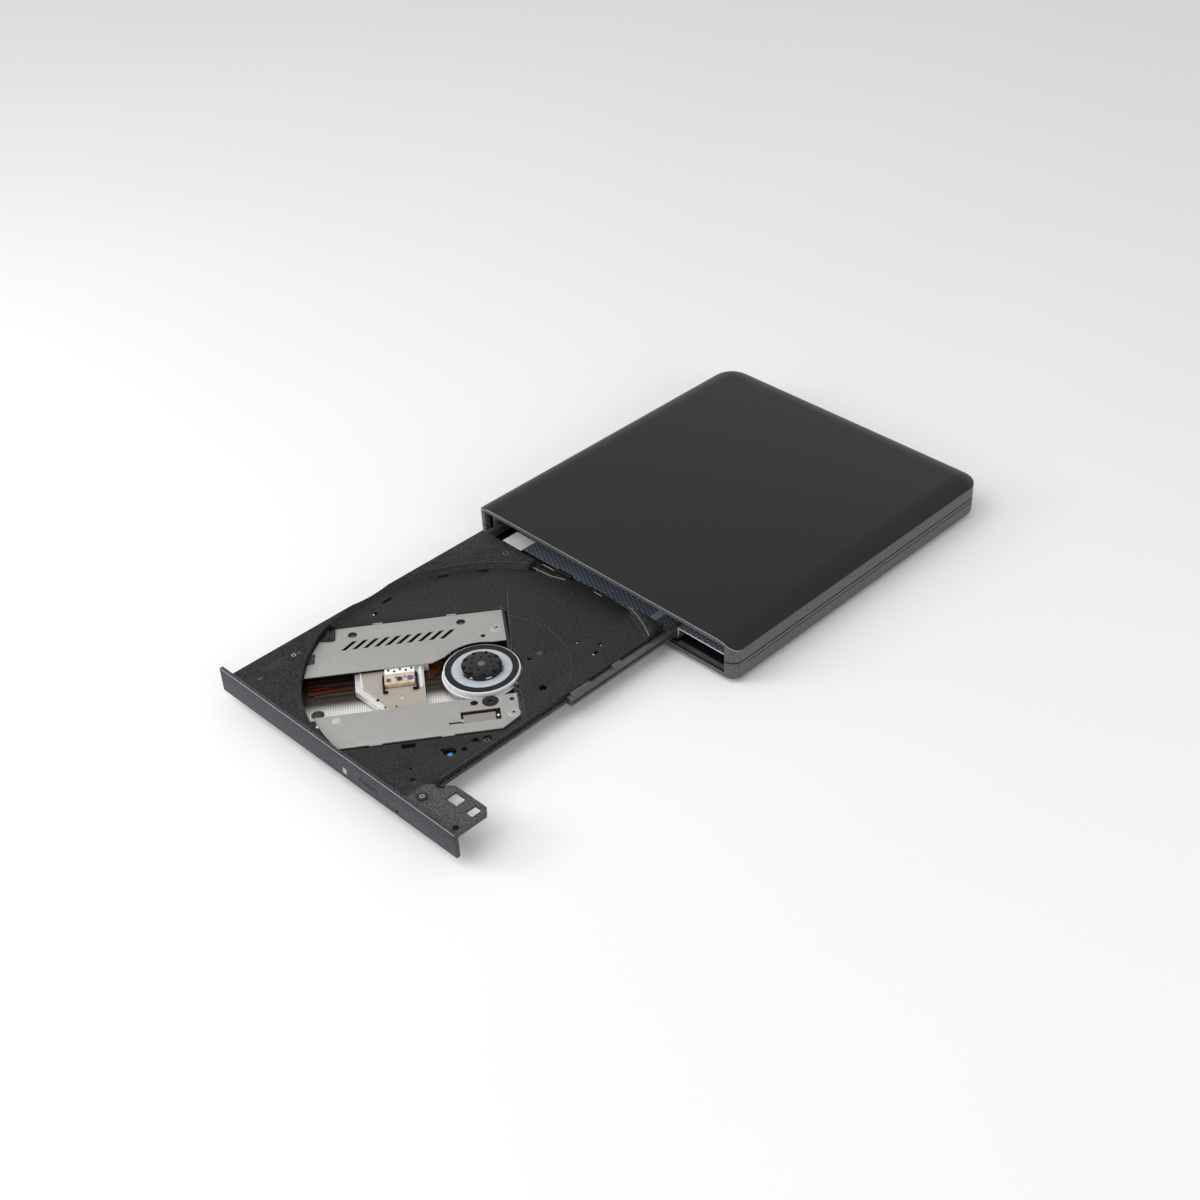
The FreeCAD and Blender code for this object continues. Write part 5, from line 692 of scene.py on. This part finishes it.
def floor_marks(looks):
    """Small studs, pits, pale discs and coloured parts on the tray and in its holes. The studs' light rims
    and a white dot in one hole are painted highlight, and the pits' black discs are painted shade.
    """
    # Dim light rings on the studs: painted highlight.
    ring("floor_stud", tray_point(11.5, 86.8, 0), 0.45, 0.95, TRAY_FLOOR, 0.15, "tray_unit",
         looks["soft_edge"])
    for name, (x, back), size, look in (("front_stud", (-52.7, 24.2), 0.9, "grey_label"),
                                        ("front_stud_rim", (-52.4, 26.3), 0.7, "soft_edge"),
                                        ("corner_stud", (-50.9, 7.8), 0.8, "soft_edge")):
        ring(name, tray_point(x, back, 0), size - 0.4, size, RIM_TOP, 0.15, "tray_unit", looks[look], 24)
    ring("rim_stud", tray_point(-41.9, 119.1, 0), 0.9, 1.3, RIM_TOP, 0.1, "tray_unit", looks["soft_edge"])
    ring("side_stud", tray_point(32.9, 41.7, 0), 0.6, 1.1, TRAY_FLOOR, 0.15, "tray_unit",
         looks["soft_edge"])
    # The first white dot sits in a hole as a painted glint.
    bits = (("pin_painted_glint", (17.3, 100.5), 0.22, "label"), ("green_dot", (24.9, 105.3), 0.5, "green"),
            ("light_dot", (-52.4, 60.4), 0.75, "label"), ("slot_dot", (26.6, 99.6), 0.3, "label"))
    for name, (x, back), radius, look in bits:
        profile = [(0, TRAY_FLOOR - 0.1), (radius, TRAY_FLOOR - 0.15), (radius, TRAY_FLOOR - 0.9),
                   (0, TRAY_FLOOR - 0.9)]
        lathe(name, tray_point(x, back, 0), profile, "tray_unit", looks[look], 20)
    # Black discs over the pits: painted shade.
    for i, spot in enumerate(((8.0, 87.4), (11.9, 89.2))):
        hole_shade_disc(f"floor_pit_shade_{i}", tray_point(*spot, 0), 0.4, TRAY_FLOOR, looks["black"], 20)
    blue = rectangle((28.2, 29.7), (27.4, 29.1))
    prism("blue_part", tray_shape(TRAY_FLOOR, blue), 1.3, "tray_unit", looks["blue"], 0.1)


# Details of the traverse

def plate_screw_details(looks):
    for i, (across, along) in enumerate(((-23.4, 7.4), (26.2, 9.0))):
        centre = track_point(across, along, 0)
        # The screw's pale dish: painted highlight round the head.
        ring(f"screw_dish_{i}", centre, 1.8, 2.35, COVER_TOP, 0.28, "tray_unit", looks["pale_ring"], 40)
        ring(f"screw_rim_{i}", centre, 1.2, 1.85, COVER_TOP + 0.3, 0.12, "tray_unit", looks["plates"], 40)
        # The cross's dark colour: painted shade of the recess.
        cross_recess(f"screw_cross_{i}", centre, COVER_TOP + 0.34, 0.85, 25, "tray_unit", looks["brown"])
    # The dimple's pale colour: painted highlight on the pressed dimple.
    dimple = track_point(18.6, -52.8, 0)
    lathe("plate_dimple", dimple, [(0, COVER_TOP + 0.3), (1.0, COVER_TOP + 0.24), (1.7, COVER_TOP - 0.05),
                                   (0, COVER_TOP - 0.1)], "tray_unit", looks["pale_ring"], 32)


def motor_window_details(looks):
    """Dark gaps round the stepper motor in its window, and the small pins beside it."""
    gaps = (((22.5, 23.8), (-9.5, 4.4)), ((23.8, 28.5), (2.6, 4.4)))
    for i, (across, along) in enumerate(gaps):
        prism(f"motor_shadow_{i}", track_shape(BELOW_COVER, rectangle(across, along)), 0.05, "tray_unit",
              looks["black"])
    slit = rectangle((27.3, 28.4), (-14.0, -9.2))
    prism("slit_shadow", track_shape(BELOW_COVER, slit), 0.05, "tray_unit", looks["black"])
    pins = (("motor_tab", (26.1, 3.5), "label"), ("motor_pin", (28.0, 3.4), "hub"))
    for name, (across, along), look in pins:
        lathe(name, track_point(across, along, 0), [(0, 9.95), (0.45, 9.95), (0.45, 9.7), (0, 9.7)],
              "tray_unit", looks[look], 20)


def plate_edge_details(looks):
    """Tabs at the long edges of both cover plates."""
    for i, along in enumerate((-38.0, -10.5)):
        tab = rectangle((-35.1, -34.5), (along, along + 3.6))
        prism(f"left_tab_{i}", track_shape(COVER_TOP + 0.02, tab), 0.3, "tray_unit", looks["plates"])
    for i, along in enumerate((-42.0, -17.0)):
        tab = rectangle((33.5, 34.2), (along, along + 4.6))
        prism(f"right_tab_{i}", track_shape(COVER_TOP + 0.02, tab), 0.3, "tray_unit", looks["plates"])


def traverse_clips(looks):
    """Dark moulded pieces at the front end of the traverse."""
    clip = [(-33.8, -51.9), (-27.4, -52.1), (-26.9, -53.7), (-27.5, -57.6), (-33.0, -56.6)]
    prism("traverse_clip", track_shape(COVER_TOP + 0.5, clip), 1.2, "tray_unit", looks["dark"], 0.2)
    clip_rib = rectangle((-32.5, -28.0), (-55.2, -54.0))
    prism("clip_rib", track_shape(COVER_TOP + 1.1, clip_rib), 1.0, "tray_unit", looks["dark"], 0.2)
    port = [(-17.0, -62.5), (-20.4, -61.3), (-20.2, -59.4), (-14.8, -60.2), (-14.6, -62.3)]
    prism("port_block", track_shape(COVER_TOP + 0.25, port), 1.2, "tray_unit", looks["bezel"], 0.15)


def flex_details(looks):
    """The pickup's flat cable, as flat films just over the tray's bottom plate."""
    film = rectangle((-13.0, -5.0), (-63.2, -46.2))
    prism("flex_film", track_shape(6.05, film), 0.1, "tray_unit", looks["smoke"])
    fold = [(-6.8, -63.0), (-6.9, -58.8), (-4.7, -54.3), (-3.7, -46.3), (-2.6, -46.3), (-2.8, -51.6),
            (-1.7, -61.6), (-1.9, -63.0)]
    prism("flex_fold", track_shape(6.12, fold), 0.1, "tray_unit", looks["orange"])
    leaf = [(-3.1, -19.5), (-4.3, -17.4), (-8.6, -14.6), (-12.1, -12.4), (-15.7, -8.8), (-18.4, -4.5),
            (-21.8, -6.0), (-22.2, -16.0), (-12.1, -19.7)]
    prism("flex_leaf", track_shape(6.12, leaf), 0.1, "tray_unit", looks["amber"])


def turntable_rings(looks):
    centre = spindle_point(0, 0, 0)
    lathe("pale_ring", centre, [(7.45, 10.7), (8.0, 10.82), (10.7, 10.82), (11.15, 10.66), (11.15, 10.6),
                                (7.45, 10.6)], "spindle", looks["pale_ring"], 96)
    lathe("rotor_foot", centre, [(14.15, 8.5), (14.7, 8.4), (14.7, 8.1), (14.15, 8.0)], "spindle",
          looks["white"], 96)


def hub_crown(looks):
    """The hub's toothed crown, with a black piece between each pair of teeth as painted shade in the notch.
    """
    steps = 6 * HUB_TEETH
    outline = []
    for i in range(steps):
        reach = 5.7 if i % 6 < 2 else 7.1
        outline.append(spindle_point(reach, math.radians(i * 360 / steps), HUB_TOP))
    prism("hub_crown", outline, 0.5, "spindle", looks["hub"], 0.1)
    # Black pieces in the notches: painted shade.
    for i in range(HUB_TEETH):
        notch = [spindle_point(reach, math.radians(i * 360 / HUB_TEETH + turn), HUB_TOP + 0.02)
                 for turn, reach in ((-2, 5.75), (8.5, 5.75), (8.5, 7.2), (-2, 7.2))]
        prism(f"hub_notch_shade_{i}", notch, 0.3, "spindle", looks["black"])


def hub_details(looks):
    """Black discs as painted shade of pits in the hub's top, white beads as painted glints on its wall, and
    the end of the shaft.
    """
    centre = spindle_point(0, 0, 0)
    # Black discs on the hub's top: painted shade of its pits.
    for i in range(HUB_TEETH):
        reach = 3.6 if i % 2 else 4.8
        spot = spindle_point(reach, math.radians(20 + i * 360 / HUB_TEETH), 0)
        lathe(f"hub_pit_shade_{i}", spot, [(0, 12.98), (0.5, 12.98), (0.55, 12.8), (0, 12.8)], "spindle",
              looks["black"], 16)
    # White beads on the hub's wall: painted glints.
    for i, (start, end) in enumerate(((234, 248), (252, 260), (284, 292), (330, 347))):
        thread(f"hub_painted_glint_{i}", spindle_arc(7.42, start, end, 11.6, 6), 0.18, "spindle", looks["white"])
    ring("shaft_ring", centre, 0.5, 1.35, HUB_TOP, 0.1, "spindle", looks["gilt"], 32)
    lathe("shaft_tip", centre, [(0, 13.05), (0.5, 13.03), (0.5, 12.9), (0, 12.9)], "spindle",
          looks["green"], 24)


def yoke_details(looks):
    """The dark yoke round the lens holder, with the cast frame's pale bars."""
    left_post = [(-3.6, -36.0), (5.6, -36.0), (5.6, -34.2), (4.8, -34.2), (4.8, -35.3), (-3.6, -35.3)]
    prism("yoke_left", track_shape(9.7, left_post), 1.0, "pickup", looks["black"], 0.08)
    right_post = [(-4.1, -23.2), (5.1, -23.2), (5.1, -25.3), (4.3, -25.3), (4.3, -24.0), (-4.1, -24.0)]
    prism("yoke_right", track_shape(9.7, right_post), 1.0, "pickup", looks["black"], 0.08)
    edge = [(-7.9, -43.7), (-0.2, -43.2), (7.9, -38.2)]
    thread("cast_ridge", track_shape(8.6, edge), 0.32, "pickup", looks["white"])
    ridge_end = rectangle((7.9, 9.0), (-38.5, -37.5))
    prism("ridge_stop", track_shape(8.93, ridge_end), 0.4, "pickup", looks["black"], 0.05)
    post = rectangle((-8.4, 4.2), (-22.7, -21.7))
    prism("frame_bar", track_shape(9.3, post), 0.6, "pickup", looks["white"], 0.1)
    strip = rectangle((-8.4, -4.6), (-35.0, -24.2))
    prism("coil_frame", track_shape(9.5, strip), 0.9, "pickup", looks["label"], 0.1)
    for i in range(5):
        mark = rectangle((-7.2 + 0.8 * (i % 2), -6.2 + 0.8 * (i % 2)), (-34.0 + 2.1 * i, -33.2 + 2.1 * i))
        prism(f"coil_mark_{i}", track_shape(9.56, mark), 0.1, "pickup", looks["black"])


def lens_details(looks):
    """Marks on the lens holder, and the hole and the marks in the cover beside it."""
    for i, along in enumerate((-31.5, -28.2)):
        notch = rectangle((-2.0, -1.3), (along, along + 0.7))
        prism(f"holder_notch_{i}", track_shape(10.05, notch), 0.1, "lens", looks["brown"])
    square = rectangle((-1.3, 0.5), (-34.4, -33.0))
    prism("photo_diode", track_shape(10.1, square), 0.15, "lens", looks["brown"], 0.05)
    # A light ring round the hole in the pickup's plate: painted highlight.
    ring("plate_hole", track_point(7.3, -30.2, 0), 0.35, 0.75, 8.92, 0.08, "pickup", looks["edge"], 24)
    lathe("first_lens", track_point(-0.6, -29.8, 0), [(0, 10.36), (0.7, 10.34), (0.95, 10.28), (0.95, 10.2),
                                                      (0, 10.2)], "lens", looks["hub"], 32)
    for i, (across, along) in enumerate(((12.6, -35.9), (12.8, -31.9))):
        mark = rectangle((across, across + 0.9), (along, along + 0.5))
        prism(f"plate_mark_{i}", track_shape(9.0, mark), 0.15, "pickup", looks["black"])


# Stage

def make_floor():
    shape = bpy.data.meshes.new("floor")
    side = 3.0
    shape.from_pydata([(-side, -side, 0), (side, -side, 0), (side, side, 0), (-side, side, 0)], [],
                      [(0, 1, 2, 3)])
    floor = bpy.data.objects.new("floor", shape)
    bpy.context.scene.collection.objects.link(floor)
    material, tree, shader = new_material("pale_floor")
    shader.inputs["Roughness"].default_value = 0.9
    shader.inputs["Specular IOR Level"].default_value = 0.1
    tint(tree, shader, noise(tree, object_coordinates(tree), 6.0), (0.93, 0.93, 0.93), (0.94, 0.94, 0.94))
    shape.materials.append(material)


def make_world():
    """White where it is seen directly, in a reflection or through a clear part; dimmer as a light."""
    world = bpy.data.worlds.new("studio")
    bpy.context.scene.world = world
    world.use_nodes = True
    tree = world.node_tree
    background = tree.nodes["Background"]
    background.inputs["Color"].default_value = (1, 1, 1, 1)
    paths = add_node(tree, "ShaderNodeLightPath")
    seen = math_node(tree, "MAXIMUM", paths.outputs["Is Camera Ray"], paths.outputs["Is Glossy Ray"])
    shown = math_node(tree, "MAXIMUM", seen, paths.outputs["Is Transmission Ray"])
    level = add_node(tree, "ShaderNodeMapRange")
    level.inputs["To Min"].default_value = 0.55
    level.inputs["To Max"].default_value = 1.0
    tree.links.new(shown, level.inputs["Value"])
    tree.links.new(level.outputs["Result"], background.inputs["Strength"])


def add_light(name, place, target, size, power):
    data = bpy.data.lights.new(name, "AREA")
    data.shape = "RECTANGLE"
    data.size, data.size_y = size
    data.energy = power
    light = bpy.data.objects.new(name, data)
    light.location = place
    light.rotation_euler = (Vector(target) - Vector(place)).to_track_quat("-Z", "Y").to_euler()
    bpy.context.scene.collection.objects.link(light)


def make_lights():
    add_light("overhead", (-0.25, -0.65, 1.05), (0, -0.05, 0), (1.0, 0.9), 6)
    add_light("left", (-0.4, -0.5, 0.3), (-0.05, -0.14, 0), (0.3, 0.2), 1.2)
    add_light("right", (1.1, -0.1, 0.45), (0, 0, 0), (0.8, 0.5), 3.5)


def make_camera():
    data = bpy.data.cameras.new("camera")
    data.sensor_width = 36.0
    data.lens = FOCAL_LENGTH / PHOTO_WIDTH * data.sensor_width
    data.shift_x = -(VIEW_MIDDLE[0] - PHOTO_WIDTH / 2) / PHOTO_WIDTH
    data.shift_y = (VIEW_MIDDLE[1] - PHOTO_WIDTH / 2) / PHOTO_WIDTH
    data.clip_start = 0.01
    camera = bpy.data.objects.new("camera", data)
    azimuth = Matrix.Rotation(math.radians(CAMERA_AZIMUTH), 4, "Z")
    tilt = Matrix.Rotation(math.pi / 2 - math.radians(CAMERA_ELEVATION), 4, "X")
    roll = Matrix.Rotation(math.radians(CAMERA_ROLL), 4, "Z")
    camera.matrix_world = Matrix.Translation(CAMERA_PLACE) @ (azimuth @ tilt) @ roll
    bpy.context.scene.collection.objects.link(camera)
    bpy.context.scene.camera = camera


looks = make_materials()
dress_nodes(looks)
case_details(looks)
bezel_details(looks)
ear_details(looks)
well_edges(looks)
floor_lines(looks)
floor_marks(looks)
plate_screw_details(looks)
motor_window_details(looks)
plate_edge_details(looks)
traverse_clips(looks)
flex_details(looks)
turntable_rings(looks)
hub_crown(looks)
hub_details(looks)
yoke_details(looks)
lens_details(looks)
make_floor()
make_world()
make_lights()
make_camera()
bpy.context.scene.view_settings.view_transform = "Standard"
